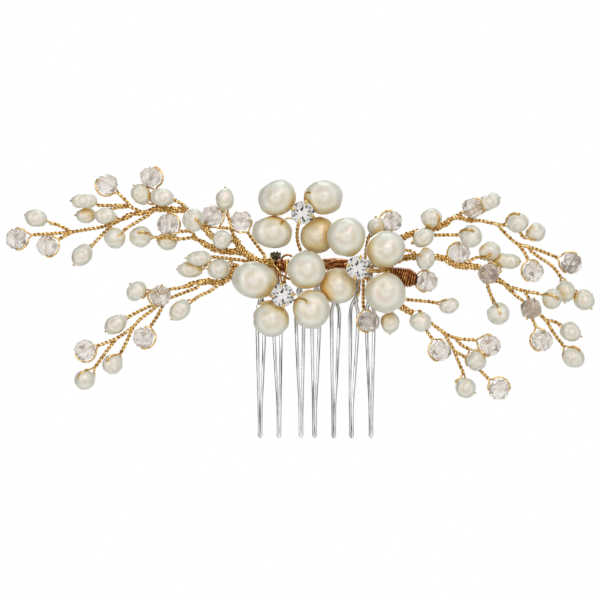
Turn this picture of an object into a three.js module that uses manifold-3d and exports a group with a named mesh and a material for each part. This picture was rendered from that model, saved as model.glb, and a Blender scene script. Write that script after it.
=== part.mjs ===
// Bridal hair comb: seven wire hairpin teeth on a rail, three flowers of pearls with a rhinestone each,
// and sprays of small pearls and bicone crystals on twisted wire.
// Millimetres. X runs along the rail, Z points up away from the tooth tips, and -Y is the side on show.
// The origin is the middle of the rail.

import * as THREE from 'three';
import { mergeVertices } from 'three/addons/utils/BufferGeometryUtils.js';
import Module from 'manifold-3d';

const wasm = await Module();
wasm.setup();

// Driving dimensions.
const RAIL = { left: -15, right: 16.2, radius: 0.5, sides: 8 };
const TOOTH = { wire: 0.4, tipZ: -43, wideZ: -14, shoulderZ: -10.6, archZ: -9.6, neckZ: -7.4 };
const TOOTH_WIDTH = { tip: 0.55, wide: 2.1, shoulder: 1.85, arch: 1.0 };
const TOOTH_TIP = { around: 6, along: 3, stretch: [1.6, 1, 1.2] };
const NECK = { radius: 0.62, overlap: 0.9, lean: 0.25 };
const HEAD = { radius: 1.05, wire: 0.34, stations: 8, startAngle: -90, sweep: 320 };
const STONE = { girdle: 2.7, back: -0.15, front: 0.1, table: 1.65, crown: 0.85, pavilion: 1.75, facets: 8 };
const CUP = { rim: 2.95, back: 1.1, wall: 0.3, depth: 1.9, drop: 0.3, plate: 0.5 };
const CLAW = { count: 4, wire: 0.22 };
// A claw's side view: how far outside the cup's rim, and how far in front of the stone's girdle.
const CLAW_PATH = [[-0.32, -0.85], [0.16, -0.1], [0.1, 0.35], [-0.42, 0.85]];
const CRYSTAL = { diameter: 5.4, length: 5.0, end: 0.55, facets: 6 };
const STEM_RADIUS = 0.42;
const TRUNK_RADIUS = 0.6;
const BINDING = { radius: 0.24, stationsPerTurn: 8 };
const WIRE_SIDES = 4;
const CLEARANCE = 0.2;
const MERGE_DISTANCE = 1e-4;
const PEARL_DETAIL = { around: 8, along: 5 };
const PETAL_DETAIL = { around: 10, along: 7 };

// Where each tooth sits: x at the tip, at its widest place and at the rail.
const TEETH = [
  [-13.7, -13.5, -13.3],
  [-9.0, -9.4, -9.7],
  [-3.5, -3.75, -4.0],
  [-0.1, 0.2, 0.5],
  [4.7, 5.1, 5.6],
  [9.1, 9.8, 11.0],
  [14.0, 13.8, 13.7],
];

// Flower petals: x, y, z of the middle, then length, width, thickness and tilt of the length in degrees.
const PETALS = {
  petal_a1: [-9.6, -5.8, 16.5, 9.7, 8.9, 8.6, 25],
  petal_a2: [2.1, -6.0, 16.7, 9.8, 8.8, 8.6, -10],
  petal_a3: [-10.5, -4.7, 8.1, 10.2, 8.2, 8.0, -8],
  petal_a4: [0.7, -3.3, 7.2, 9.4, 8.8, 7.6, 70],
  petal_b1: [-15.1, -5.8, -3.9, 11.6, 9.1, 8.6, -12],
  petal_b2: [-2.0, -8.2, -1.2, 9.6, 9.4, 8.2, 30],
  petal_b3: [-10.9, -6.2, -13.5, 9.0, 8.8, 8.4, 0],
  petal_b4: [-1.0, -7.9, -11.3, 9.9, 9.1, 8.2, 80],
  petal_c1: [7.7, -8.6, 6.9, 9.9, 9.4, 8.2, 80],
  petal_c2: [17.6, -7.0, 3.8, 9.9, 9.1, 8.6, 20],
  petal_c3: [5.5, -4.9, -5.3, 9.3, 8.9, 7.4, 0],
  petal_c4: [17.3, -7.2, -6.8, 10.4, 10.0, 8.8, -60],
};

// Rhinestones and the stems behind their settings: the stone's middle, then the points of the stem.
const FLOWER_HEARTS = {
  a: {
    at: [-3.1, -9.6, 12.7],
    stem: [[-3.2, -5.6, 11.9], [-4.3, -3.2, 9.6], [-4.4, -2.0, 6.2], [-3.2, -1.6, 2.4]],
  },
  b: {
    at: [-8.0, -10.6, -7.6],
    stem: [[-7.9, -6.8, -7.4], [-7.8, -3.4, -6.0], [-7.4, -1.7, -2.6]],
  },
  c: {
    at: [10.4, -11.0, -0.8],
    stem: [[10.5, -7.0, -0.7], [10.9, -4.0, -0.3], [12.2, -1.9, 0.3]],
  },
};

// Wire lashings: a coil from one end to the other with its radius at each end. A coil with something beside
// its core, so many mm away in y and z, goes round both.
const LASHINGS = {
  lashing_left: {
    from: [-12.3, 0, 0], to: [-10.5, 0, 0], radii: [1.12, 1.12], turns: 3, beside: [-2.0, 0.6], look: 'gilt',
  },
  lashing_middle: {
    from: [1.5, 0, 0], to: [4.6, 0, 0], radii: [1.0, 1.0], turns: 5, beside: [0, 0], look: 'copper',
  },
  lashing_right: {
    from: [19.2, -0.6, -1.7], to: [25.0, -0.9, -3.6], radii: [0.95, 1.9], turns: 9, beside: [0, 0],
    look: 'copper',
  },
};

// The sprays. Each sprig is twisted wire with the beads at its ends, made in this order:
// a sprig that meets an earlier one stops just short of it. Wires are lists of x, y, z.
// Pearls are x, y, z, length, width and tilt in degrees. Crystals are x, y, z and tilt of the drilled axis.
const SPRIGS = {
  left_sprig_01: {
    trunk: [[-10.5, -2, 0.6], [-13.3, -2, 0.8], [-16.2, -1.6, 2], [-18.7, -1, 4.5], [-19.8, -0.6, 6.1],
      [-22.5, -0.2, 6.7], [-25.3, 0, 6.9], [-27.5, 0, 9.2], [-31.6, 0, 13.4], [-35, 0, 13.8], [-38.8, 0, 14],
      [-43.8, 0, 13], [-48.7, 0, 11.5], [-51.3, 0, 10], [-57.5, 0, 8.8], [-61, 0, 8.2]],
    wires: [
      [[-60.8, 0, 8.2], [-66.2, -0.5, 7.8], [-71.2, -0.8, 7.4], [-74.6, -0.8, 6.5]],
      [[-60.8, 0, 8.2], [-64.2, -0.4, 10], [-66.8, -0.8, 10.6], [-69.5, -1, 11.7]],
      [[-60.8, 0, 8.2], [-64, 0.4, 6.5], [-67.1, 0.6, 4.8]],
    ],
    pearls: [[-69.5, -1, 11.7, 5.7, 4.5, -15]],
    crystals: [[-74.6, -0.8, 6.5, 90], [-67.1, 0.6, 4.8, 90]],
  },
  left_sprig_02: {
    wires: [
      [[-57.7, -1.8, 16], [-54.8, -1.2, 15], [-46.8, -0.8, 14.7], [-44.2, -0.6, 13.6]],
      [[-57.4, 1.3, 12.5], [-54.5, 1.4, 13], [-50.5, 1.2, 14.2], [-46.6, -0.5, 14.6]],
      [[-51.9, -0.6, 20.2], [-49.2, -0.7, 18], [-47, -0.8, 15.8], [-46, -0.8, 14.6]],
    ],
    pearls: [[-57.7, -1.8, 16, 6, 4, 0], [-57.4, 1.3, 12.5, 5.1, 4, 0]],
    crystals: [[-51.9, -0.6, 20.2, -28]],
  },
  left_sprig_03: {
    wires: [
      [[-58.2, -0.8, 2.4], [-56, -0.9, 4.5], [-54, -1.1, 6.6], [-50.6, -1.5, 10.1], [-49.6, -1.6, 11.6],
        [-52.2, -2, 12.2]],
    ],
    pearls: [[-52.3, -2, 12.2, 5.4, 4, 0], [-58.2, -0.8, 2.4, 6.2, 4.7, 50]],
    crystals: [],
  },
  left_sprig_04: {
    wires: [
      [[-41.1, -0.4, 22], [-40, 0.7, 19.3], [-39.8, 0.8, 16.6], [-39.6, -0.1, 15.3]],
      [[-43.4, -0.7, 17.6], [-40.8, -0.4, 15.5], [-39.6, -0.1, 15.2]],
      [[-39.6, -0.2, 15.3], [-37.9, -1.6, 16.6], [-34.8, -1.6, 16], [-32.6, -1.2, 14.8]],
    ],
    pearls: [[-43.4, -0.7, 17.6, 5.7, 4.7, -50], [-37.9, -2.2, 16.8, 6.2, 4.5, -8]],
    crystals: [[-41.1, -0.4, 22, 70]],
  },
  left_sprig_05: {
    wires: [[[-50, -1, 6.7], [-48.7, -1, 7.5], [-47.1, -0.9, 9.1], [-44, -0.8, 11], [-41.3, -0.8, 12.6]]],
    pearls: [[-50, -1, 6.7, 5.4, 5.2, 0]],
    crystals: [],
  },
  left_sprig_06: {
    wires: [[[-30.2, -3.6, 11.2], [-28.4, -3.2, 9.6], [-26.2, -2.4, 7.6], [-23.1, -3.4, 6.2]]],
    pearls: [[-30.2, -3.7, 11.2, 5.7, 5.4, 90], [-23.1, -3.4, 6.2, 4.8, 4.7, 0]],
    crystals: [],
  },
  left_sprig_07: {
    wires: [
      [[-22.5, -0.8, 16.4], [-22, -0.6, 13.2], [-21, -0.2, 10], [-20.6, 0.6, 7.8], [-19.9, 0.8, 7]],
      [[-25.7, 0.6, 12.4], [-25.2, 0.6, 9.8], [-21.7, 0.2, 9.2], [-20.9, 0.1, 9]],
    ],
    pearls: [[-22.5, -0.8, 16.4, 5.7, 4.6, 90]],
    crystals: [[-25.7, 0.6, 12.4, 45]],
  },
  left_sprig_08: {
    wires: [[[-18.5, -0.4, 11.2], [-17, -0.4, 8.5], [-15.3, -0.2, 6], [-13.3, 0.2, 3.3], [-12.6, 0.3, 2.4]]],
    pearls: [],
    crystals: [[-18.5, -0.4, 11.2, 0]],
  },
  left_sprig_09: {
    trunk: [[-15.6, 0.6, 1.9], [-18.7, 0.6, 3.2], [-22.2, 0, 3.4], [-25, -0.4, 4], [-28, -0.6, 5.5],
      [-30.7, -0.7, 6.7], [-33.8, -0.7, 6.5]],
    wires: [
      [[-33.4, -0.7, 6.5], [-38.8, -0.7, 6.8], [-43.5, -1.2, 7.1]],
      [[-29.6, -0.7, 6.4], [-31, -1.2, 8.3], [-34.7, -1.8, 8.4], [-36.7, -2.4, 10.1]],
      [[-34.4, -0.7, 6.5], [-36.9, 0.8, 6.2]],
    ],
    pearls: [[-43.5, -1.4, 7.1, 5.5, 5.5, 0], [-36.9, 1.6, 6.2, 5.2, 5, 0]],
    crystals: [[-36.7, -2.6, 10.1, 90]],
  },
  left_sprig_10: {
    wires: [
      [[-29, -2.2, 1.7], [-25.7, -1.2, 2], [-20.7, -0.6, 1.5], [-17.5, -0.3, 1], [-16.2, -0.2, 0.7]],
      [[-31.2, 0.5, -1], [-27.9, -0.2, -0.6], [-26.2, -0.8, 1.9]],
      [[-23.9, -1.6, -1], [-21.4, -0.9, 0], [-20.7, -0.6, 1.5]],
    ],
    pearls: [[-29, -2.3, 1.7, 6.2, 3.9, 0], [-31.2, 0.5, -1, 6.4, 4.4, 0], [-23.9, -1.8, -1, 5.7, 5.1, 0]],
    crystals: [],
  },
  left_sprig_11: {
    trunk: [[-19.7, 0.9, 0.2], [-20.6, 0.9, -1.6], [-21.6, 0.8, -3.1], [-23.8, 0.5, -4.4], [-26.8, 0.2, -4.1],
      [-29.8, 0.1, -4.6], [-33, -0.4, -5.4], [-36.7, -1.2, -6.2]],
    wires: [[[-36.4, -1.2, -6.2], [-38.4, -2, -7.2], [-41, -1.2, -6.4], [-44.5, -1.4, -6.5]]],
    pearls: [[-44.5, -1.6, -6.5, 5.5, 4.5, 0]],
    crystals: [[-38.5, -2.6, -7.7, 80]],
  },
  left_sprig_12: {
    wires: [
      [[-29.4, 1.2, -5.6], [-32.8, 1.2, -6.9], [-36.7, 1.2, -8.4], [-39.3, 1.1, -9.5], [-41.8, 0.9, -10.5],
        [-44.3, 0.4, -11.7], [-49.7, -0.2, -14.7]],
      [[-37.4, 1.2, -8.7], [-39.2, 1.1, -12.3], [-41, 0.4, -15.2], [-42.9, -0.2, -18.1]],
    ],
    pearls: [[-49.7, -0.4, -14.7, 6.2, 4.7, 36]],
    crystals: [[-42.9, -0.2, -18.1, 80]],
  },
  left_sprig_13: {
    wires: [
      [[-38.9, -0.3, -9.9], [-41.5, -0.5, -11.9], [-43.7, -0.7, -13.6], [-45.5, -0.8, -15.5],
        [-49.7, -0.8, -18.4], [-52.7, -0.8, -19.6], [-57.4, -0.8, -21.2]],
      [[-49.6, -0.8, -18.4], [-52, -0.8, -21.5], [-54.7, -0.8, -25.2], [-57.4, -0.8, -28.6]],
      [[-45.4, -0.8, -15.5], [-47, -0.8, -19], [-48.3, -0.8, -21.6], [-50.5, -0.8, -24.7]],
    ],
    pearls: [[-57.4, -0.9, -28.6, 5.2, 5.2, 0], [-50.5, -0.9, -24.7, 5.2, 5, 90]],
    crystals: [[-57.4, -0.8, -21.2, 25]],
  },
  left_sprig_14: {
    wires: [
      [[-24.2, -0.7, -5], [-26, -0.8, -6.4], [-29.5, -0.8, -8.1], [-31.2, -0.8, -9.6], [-33.7, -0.8, -11.2]],
    ],
    pearls: [[-33.7, -0.8, -11.2, 6.2, 4.5, 48]],
    crystals: [],
  },
  right_sprig_01: {
    wires: [
      [[15.2, -1.8, 9.5], [13.6, -1.2, 7.6], [13, -0.6, 5.2], [12.5, 0, 1.6]],
      [[19.1, -1.7, 10.9], [18.6, -0.9, 7.6], [15.4, -0.6, 4.6], [12.9, -0.4, 4.2]],
    ],
    pearls: [[15.2, -1.9, 9.5, 4.7, 4.4, 90]],
    crystals: [[19.1, -1.8, 10.9, 90]],
  },
  right_sprig_02: {
    trunk: [[17.6, 0.2, 0.9], [19, 0.2, 3.4], [21.5, 0.1, 6.6], [24.3, 0, 7.8], [29.3, 0, 9], [32.3, 0, 10.2],
      [35.7, 0, 12], [38.8, 0, 11.2], [42.5, 0, 10.8], [46.3, 0, 10]],
    wires: [
      [[25.2, -0.2, 8], [26.4, -2, 7.4], [26.8, -2.8, 6.8]],
      [[28.2, -0.2, 8.8], [28.9, -1.4, 10.4], [29, -1.6, 11.7]],
    ],
    pearls: [[26.8, -3.2, 6.7, 5.7, 4.5, 30], [29, -1.8, 11.7, 5.5, 5, 0]],
    crystals: [],
  },
  right_sprig_03: {
    wires: [
      [[36.4, -0.9, 13], [39, -1.2, 13.6], [41.2, -0.8, 15], [43.5, -0.6, 15.7]],
    ],
    pearls: [[43.5, -0.7, 15.7, 5.5, 4.2, 22]],
    crystals: [[39.2, -2.0, 14.2, 70]],
  },
  right_sprig_04: {
    wires: [
      [[47.2, -0.2, 10], [50.5, -1.6, 10.4]],
      [[50.5, -1.6, 10], [52, -0.6, 7], [54.5, -0.2, 7.2], [55.2, 0.2, 8.2]],
    ],
    pearls: [[50.5, -1.8, 10.5, 5.5, 5, 0], [55.2, 0.3, 8.2, 5, 4.7, 0]],
    crystals: [],
  },
  right_sprig_05: {
    wires: [
      [[46.6, 0.5, 9], [48.5, 0.7, 7.1], [50.5, 0.4, 5.4], [54.5, -0.2, 4.2], [58, -0.5, 2.9],
        [60.8, -0.7, 1.7], [64, -0.8, 0.4]],
      [[50.8, 0.3, 5.3], [52.7, -0.4, 2.5], [53.2, -0.7, 1.2], [54.5, -0.8, -1.7]],
    ],
    pearls: [],
    crystals: [[64, -0.8, 0.4, 60], [54.5, -0.8, -1.7, 60]],
  },
  right_sprig_06: {
    wires: [
      [[53.9, 0.9, 3.6], [56.5, 0.8, 1.7], [59.2, 0.6, -0.1], [61.7, 0.6, -3.5], [62.7, 0.8, -6.5]],
      [[62, 0.6, -4], [65, 0.8, -6.5], [67.5, 1.2, -8.7]],
    ],
    pearls: [[62.7, 0.9, -6.5, 5.5, 5, 90], [67.5, 1.6, -8.7, 5.6, 5, -50]],
    crystals: [],
  },
  right_sprig_07: {
    wires: [[[29.3, -0.9, 7.4], [33.2, -1, 7.5], [36.3, -1.8, 7.4], [38.7, -2.6, 7]]],
    pearls: [[38.7, -3.2, 7, 5.7, 5.4, 90]],
    crystals: [],
  },
  right_sprig_08: {
    wires: [
      [[17.2, -0.6, -1.2], [19.2, -0.6, -1.7], [25, -0.9, -3.6], [28, -1.4, -4]],
      [[17.5, -0.6, -1.2], [18.6, -1.1, 1.2], [22.8, -1.3, 3.7], [24.3, -1.8, 3.2], [27.5, -2.8, 1.5]],
    ],
    pearls: [[27.5, -2.9, 1.5, 5.7, 4.7, 90]],
    crystals: [[28, -1.5, -4.1, 80]],
  },
  right_sprig_09: {
    trunk: [[17.4, 1.4, -0.4], [20, 1.3, 0.9], [22.3, 1, 1.8], [29.7, 0.8, 2], [32.5, 0.7, 1.6],
      [34.2, 0.6, 0.5], [36.2, 0.6, -0.2], [40.8, 0.6, -0.6], [45.5, 0.6, -3.6], [48.2, 0.6, -5.5],
      [51.5, 0.6, -8.5], [56.3, 0.6, -12.4]],
    wires: [
      [[34.6, 0.6, 0.3], [36.2, 0.6, 3]],
      [[36.8, 0.5, 0.2], [40.5, -0.8, 2], [43.5, -1.6, 3.4]],
      [[41, -0.7, 1.9], [45, 0.2, 1], [48, 0.3, 1]],
    ],
    pearls: [[43.5, -1.8, 3.4, 5.5, 4.7, 0], [48, 0.4, 1, 6.6, 4.2, -4]],
    crystals: [[36.2, 0.6, 3, 90]],
  },
  right_sprig_10: {
    wires: [
      [[41.6, -0.4, -1.8], [43.3, -1.6, -2.4], [43, -1, -4.6], [44, -0.8, -7.8], [45.3, -0.8, -10.4],
        [45.7, -0.8, -12.1]],
    ],
    pearls: [[45.7, -0.9, -12.1, 5.7, 5.7, 0]],
    crystals: [[43.2, -2.8, -2.2, 90]],
  },
  right_sprig_11: {
    wires: [
      [[49.2, -0.6, -5.6], [52.3, -0.9, -6.5], [55.5, -1.4, -7.1], [59, -2.4, -8.3]],
      [[52.3, -0.9, -6.5], [53.2, -2, -8.4], [53.7, -2.4, -10.9], [54.2, -1.5, -13.4], [55.3, -0.8, -15.8],
        [56.7, -0.8, -18.9]],
    ],
    pearls: [[59, -2.7, -8.4, 5.2, 5, 90]],
    crystals: [[53.7, -2.8, -10.9, 70], [56.7, -0.8, -18.9, 75]],
  },
  right_sprig_12: {
    wires: [
      [[57.2, 0.6, -13.2], [58.3, 0.6, -14.6], [59.5, 0.5, -16.7], [62, 0.3, -20], [64.7, 0, -23.1]],
      [[57.8, 0.6, -13.8], [60, 0.2, -14.2], [63.9, -0.2, -16.7]],
    ],
    pearls: [[64.7, -0.2, -23.1, 5.7, 5, 0], [63.9, -0.4, -16.7, 5.5, 4.7, -25]],
    crystals: [],
  },
  right_sprig_13: {
    wires: [[[17.6, 1.2, -2.8], [19, 0.8, -6], [22.3, -0.2, -8.4], [25.7, -0.5, -8.9], [29.5, -0.8, -9.3],
      [33.5, -1, -10.2]]],
    pearls: [[33.5, -1.2, -10.2, 5.2, 3.9, 0]],
    crystals: [],
  },
  right_sprig_14: {
    trunk: [[16.4, 2.2, -2.6], [17.2, 2, -6], [21.2, 0.7, -10.2], [24, 0.5, -11.8], [28.7, 0.2, -14.3],
      [32.6, 0, -17.2]],
    wires: [
      [[25, 0.3, -12.3], [26.1, -1.6, -13.2], [26.2, -2.4, -14]],
      [[27, 0.2, -13.4], [27.9, 0, -16.4], [29.7, -0.2, -19], [31.4, -0.6, -21.4]],
    ],
    pearls: [[26.2, -3, -14, 5.6, 5, -35]],
    crystals: [[31.4, -0.8, -21.4, 75]],
  },
  right_sprig_15: {
    wires: [
      [[33.9, -0.4, -17.9], [36.7, -0.6, -18.5], [40.7, -0.8, -18.9], [43.7, -1, -20.1]],
      [[35, -0.5, -18.2], [36.6, -0.8, -20], [40.2, -1, -22], [40.2, -1, -23.9]],
    ],
    pearls: [[40.2, -1.1, -23.9, 5.2, 5, 20]],
    crystals: [[43.7, -1.1, -20.1, 85]],
  },
  right_sprig_16: {
    wires: [
      [[33.2, 0.6, -18.6], [34.6, 0.7, -21], [35.8, 0.4, -24], [37.2, -0.2, -27.6], [37.5, -0.7, -30.6]],
      [[34.8, 0.7, -21.4], [37.4, 1.5, -23], [41.2, 0.6, -26.2], [43.5, -0.2, -28.6], [45.9, -0.8, -31.1]],
    ],
    pearls: [[37.5, -0.9, -30.6, 5.3, 5, -30]],
    crystals: [[45.9, -0.9, -31.1, 0]],
  },
  right_sprig_17: {
    wires: [
      [[13.5, -3.6, -14.1], [12.2, -3, -11.3], [12, -2.4, -6], [12.3, -1.9, -2.4], [13.2, -1.9, -1.6]],
      [[18.7, -2.2, -14.2], [17.4, -1.5, -11], [15, -1.7, -6], [12.6, -2, -3]],
    ],
    pearls: [[18.7, -2.3, -14.2, 5.5, 4.7, 90]],
    crystals: [[13.5, -3.7, -14.1, 85]],
  },
};

const MATERIALS = {
  steel: { color: 0xc9cbce, roughness: 0.22, metalness: 1 },
  gilt: { color: 0xc8963c, roughness: 0.3, metalness: 1 },
  copper: { color: 0x8a4a1c, roughness: 0.4, metalness: 1 },
  pearl: { color: 0xe9e2d3, roughness: 0.28, metalness: 0 },
  crystal: { color: 0xe6dcd9, roughness: 0.08, metalness: 0 },
  stone: { color: 0xf2f4f6, roughness: 0.05, metalness: 0 },
};

// A path through given stations, so that a tube has exactly one ring of vertices at each.
class StationPath extends THREE.Curve {
  constructor(stations) {
    super();
    this.stations = stations;
  }

  getPointAt(u, target = new THREE.Vector3()) {
    const last = this.stations.length - 1;
    const lower = Math.min(Math.floor(u * last), last - 1);
    return target.lerpVectors(this.stations[lower], this.stations[lower + 1], u * last - lower);
  }

  getTangentAt(u, target = new THREE.Vector3()) {
    const last = this.stations.length - 1;
    const nearest = Math.round(u * last);
    const before = this.stations[Math.max(nearest - 1, 0)];
    const after = this.stations[Math.min(nearest + 1, last)];
    return target.subVectors(after, before).normalize();
  }
}

function vectors(points) {
  return points.map(([x, y, z]) => new THREE.Vector3(x, y, z));
}

function polygon(radius, sides) {
  const corners = [];
  for (let i = 0; i < sides; i += 1) {
    const angle = (2 * Math.PI * i) / sides;
    corners.push(new THREE.Vector2(radius * Math.cos(angle), radius * Math.sin(angle)));
  }
  return new THREE.Shape(corners);
}

// A closed round tube along the stations.
function tube(stations, radius, sides) {
  return new THREE.ExtrudeGeometry(polygon(radius, sides), {
    steps: stations.length - 1,
    extrudePath: new StationPath(stations),
    bevelEnabled: false,
  });
}

// A solid for booleans: positions only, shared vertices merged, triangles of no width dropped.
function solid(geometry) {
  const bare = geometry.clone();
  bare.deleteAttribute('normal');
  bare.deleteAttribute('uv');
  const merged = mergeVertices(bare, MERGE_DISTANCE);
  const index = merged.index.array;
  const triangles = [];
  for (let i = 0; i < index.length; i += 3) {
    const [a, b, c] = [index[i], index[i + 1], index[i + 2]];
    if (a !== b && b !== c && c !== a) {
      triangles.push(a, b, c);
    }
  }
  return new wasm.Manifold(new wasm.Mesh({
    numProp: 3,
    vertProperties: new Float32Array(merged.attributes.position.array),
    triVerts: new Uint32Array(triangles),
  }));
}

function joined(solids) {
  return solids.reduce((whole, piece) => whole.add(piece));
}

// The largest of a solid's separate bodies.
function largestBody(whole) {
  const bodies = whole.decompose();
  return bodies.reduce((best, body) => (body.volume() > best.volume() ? body : best));
}

function geometryOf(whole) {
  const { vertProperties, triVerts } = whole.getMesh();
  const geometry = new THREE.BufferGeometry();
  geometry.setAttribute('position', new THREE.BufferAttribute(new Float32Array(vertProperties), 3));
  geometry.setIndex(new THREE.BufferAttribute(new Uint32Array(triVerts), 1));
  geometry.computeVertexNormals();
  return geometry;
}

const comb = new THREE.Group();

function addMesh(name, geometry, look) {
  const mesh = new THREE.Mesh(geometry, new THREE.MeshStandardMaterial(MATERIALS[look]));
  mesh.name = name;
  comb.add(mesh);
  return mesh;
}

// Turns a shape whose length lies along X to the tilt, then moves it to the place.
function place(geometry, [x, y, z], tilt) {
  return geometry.rotateY(-THREE.MathUtils.degToRad(tilt)).translate(x, y, z);
}

// A pearl, longest along X before it is tilted. Its poles are the ends of the drilled hole.
function pearlGeometry(length, width, thickness, detail) {
  const ball = new THREE.SphereGeometry(0.5, detail.around, detail.along);
  return ball.rotateZ(Math.PI / 2).scale(length, thickness, width);
}

// A bicone bead: two faceted cones base to base, with small flats where the hole comes out.
function crystalGeometry(extra) {
  const half = CRYSTAL.length / 2 + extra;
  const girdle = CRYSTAL.diameter / 2 + extra;
  const end = CRYSTAL.end + extra;
  const profile = [[0, -half], [end, -half], [girdle, 0], [end, half], [0, half]];
  const outline = profile.map(([r, h]) => new THREE.Vector2(r, h));
  return new THREE.LatheGeometry(outline, CRYSTAL.facets).rotateZ(Math.PI / 2);
}

// One sprig as a single body, grown by the extra all over.
function sprigSolid(sprig, extra) {
  const pieces = sprig.wires.map((points) => solid(tube(vectors(points), STEM_RADIUS + extra, WIRE_SIDES)));
  if (sprig.trunk) {
    pieces.push(solid(tube(vectors(sprig.trunk), TRUNK_RADIUS + extra, WIRE_SIDES)));
  }
  for (const [x, y, z, length, width, tilt] of sprig.pearls) {
    const thick = width + 2 * extra;
    const pearl = pearlGeometry(length + 2 * extra, thick, thick, PEARL_DETAIL);
    pieces.push(solid(place(pearl, [x, y, z], tilt)));
  }
  for (const [x, y, z, tilt] of sprig.crystals) {
    pieces.push(solid(place(crystalGeometry(extra), [x, y, z], tilt)));
  }
  return joined(pieces);
}

function addRail() {
  const ends = vectors([[RAIL.left, 0, 0], [RAIL.right, 0, 0]]);
  addMesh('comb_rail', tube(ends, RAIL.radius, RAIL.sides), 'steel');
}

// One leg of a hairpin, from the tip up to where both legs meet above the arch.
function toothLeg(side, tipX, wideX, meetX) {
  const half = side / 2;
  const leg = vectors([
    [tipX + half * TOOTH_WIDTH.tip, 0, TOOTH.tipZ],
    [wideX + half * TOOTH_WIDTH.wide, 0, TOOTH.wideZ],
    [wideX + half * TOOTH_WIDTH.shoulder, 0, TOOTH.shoulderZ],
    [wideX + half * TOOTH_WIDTH.arch, 0, TOOTH.archZ],
    [meetX, 0, TOOTH.neckZ],
  ]);
  return solid(tube(leg, TOOTH.wire, WIRE_SIDES));
}

// The turn of wire that holds a tooth on the rail.
function toothHead(railX) {
  const turn = [];
  for (let i = 0; i < HEAD.stations; i += 1) {
    const angle = THREE.MathUtils.degToRad(HEAD.startAngle + (HEAD.sweep * i) / (HEAD.stations - 1));
    turn.push(new THREE.Vector3(railX, HEAD.radius * Math.cos(angle), HEAD.radius * Math.sin(angle)));
  }
  return solid(tube(turn, HEAD.wire, WIRE_SIDES));
}

// A hairpin tooth: two legs from a rounded tip to the arch, a neck, and a turn of wire round the rail.
function addTooth(number, [tipX, wideX, railX]) {
  const meetX = THREE.MathUtils.lerp(wideX, railX, NECK.lean);
  const tip = new THREE.SphereGeometry(TOOTH.wire, TOOTH_TIP.around, TOOTH_TIP.along);
  const neck = vectors([[meetX, 0, TOOTH.neckZ - NECK.overlap], [railX, 0, -HEAD.radius]]);
  const pieces = [
    toothLeg(-1, tipX, wideX, meetX),
    toothLeg(1, tipX, wideX, meetX),
    solid(tip.scale(...TOOTH_TIP.stretch).translate(tipX, 0, TOOTH.tipZ)),
    solid(tube(neck, NECK.radius, WIRE_SIDES)),
    toothHead(railX),
  ];
  addMesh(`comb_tooth_${number}`, geometryOf(joined(pieces)), 'steel');
}

function addPetal(name, [x, y, z, length, width, thickness, tilt]) {
  const petal = addMesh(name, pearlGeometry(length, width, thickness, PETAL_DETAIL), 'pearl');
  petal.position.set(x, y, z);
  petal.rotation.y = -THREE.MathUtils.degToRad(tilt);
}

// A round brilliant: flat table, crown, thin girdle and pointed pavilion, table towards +Y before turning.
function stoneGeometry() {
  const profile = [[0, -STONE.pavilion], [STONE.girdle, STONE.back], [STONE.girdle, STONE.front],
    [STONE.table, STONE.crown], [0, STONE.crown]];
  return new THREE.LatheGeometry(profile.map(([r, h]) => new THREE.Vector2(r, h)), STONE.facets);
}

// A conical cup that is open at the back, with claws that bend over the stone's crown.
function settingSolid() {
  const profile = [[CUP.back, -CUP.depth - CUP.drop], [CUP.rim, -CUP.drop], [CUP.rim - CUP.wall, -CUP.drop],
    [CUP.back - CUP.wall, -CUP.depth - CUP.drop], [CUP.back, -CUP.depth - CUP.drop]];
  const cup = new THREE.LatheGeometry(profile.map(([r, h]) => new THREE.Vector2(r, h)), STONE.facets);
  const pieces = [solid(cup)];
  const claw = vectors(CLAW_PATH.map(([out, forward]) => [CUP.rim + out, forward, 0]));
  for (let i = 0; i < CLAW.count; i += 1) {
    const turn = (2 * Math.PI * (i + 0.5)) / CLAW.count;
    pieces.push(solid(tube(claw, CLAW.wire, WIRE_SIDES).rotateY(turn)));
  }
  return joined(pieces);
}

// The rhinestone and its setting, both facing -Y. The setting has a plate at the back, which the stem leaves.
function addFlowerHeart(letter, { at, stem }) {
  const stone = addMesh(`rhinestone_${letter}`, stoneGeometry().rotateX(Math.PI), 'stone');
  stone.position.set(...at);
  const back = [at[0], at[1] + CUP.depth + CUP.drop, at[2]];
  const plate = new THREE.CylinderGeometry(CUP.back, CUP.back, CUP.plate, STONE.facets);
  const pieces = [
    solid(geometryOf(settingSolid()).rotateX(Math.PI).translate(...at)),
    solid(plate.translate(...back)),
    solid(tube(vectors([back, stem[0]]), STEM_RADIUS, WIRE_SIDES)),
    solid(tube(vectors(stem), STEM_RADIUS, WIRE_SIDES)),
  ];
  addMesh(`claw_setting_${letter}`, geometryOf(joined(pieces)), 'gilt');
}

// A wire coil. Its turns go round a core, and round what lies beside it where that is given.
function addLashing(name, { from, to, radii, turns, beside, look }) {
  const stations = [];
  const towards = new THREE.Vector2(...beside);
  const start = new THREE.Vector3(...from);
  const end = new THREE.Vector3(...to);
  const count = turns * BINDING.stationsPerTurn;
  for (let i = 0; i <= count; i += 1) {
    const along = i / count;
    const angle = 2 * Math.PI * turns * along;
    const radius = THREE.MathUtils.lerp(radii[0], radii[1], along);
    const outward = new THREE.Vector2(Math.cos(angle), Math.sin(angle));
    const shift = outward.dot(towards) > 0 ? towards : new THREE.Vector2();
    const centre = new THREE.Vector3().lerpVectors(start, end, along);
    const offset = new THREE.Vector3(0, shift.x + radius * outward.x, shift.y + radius * outward.y);
    stations.push(centre.add(offset));
  }
  addMesh(name, tube(stations, BINDING.radius, WIRE_SIDES), look);
}

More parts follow.
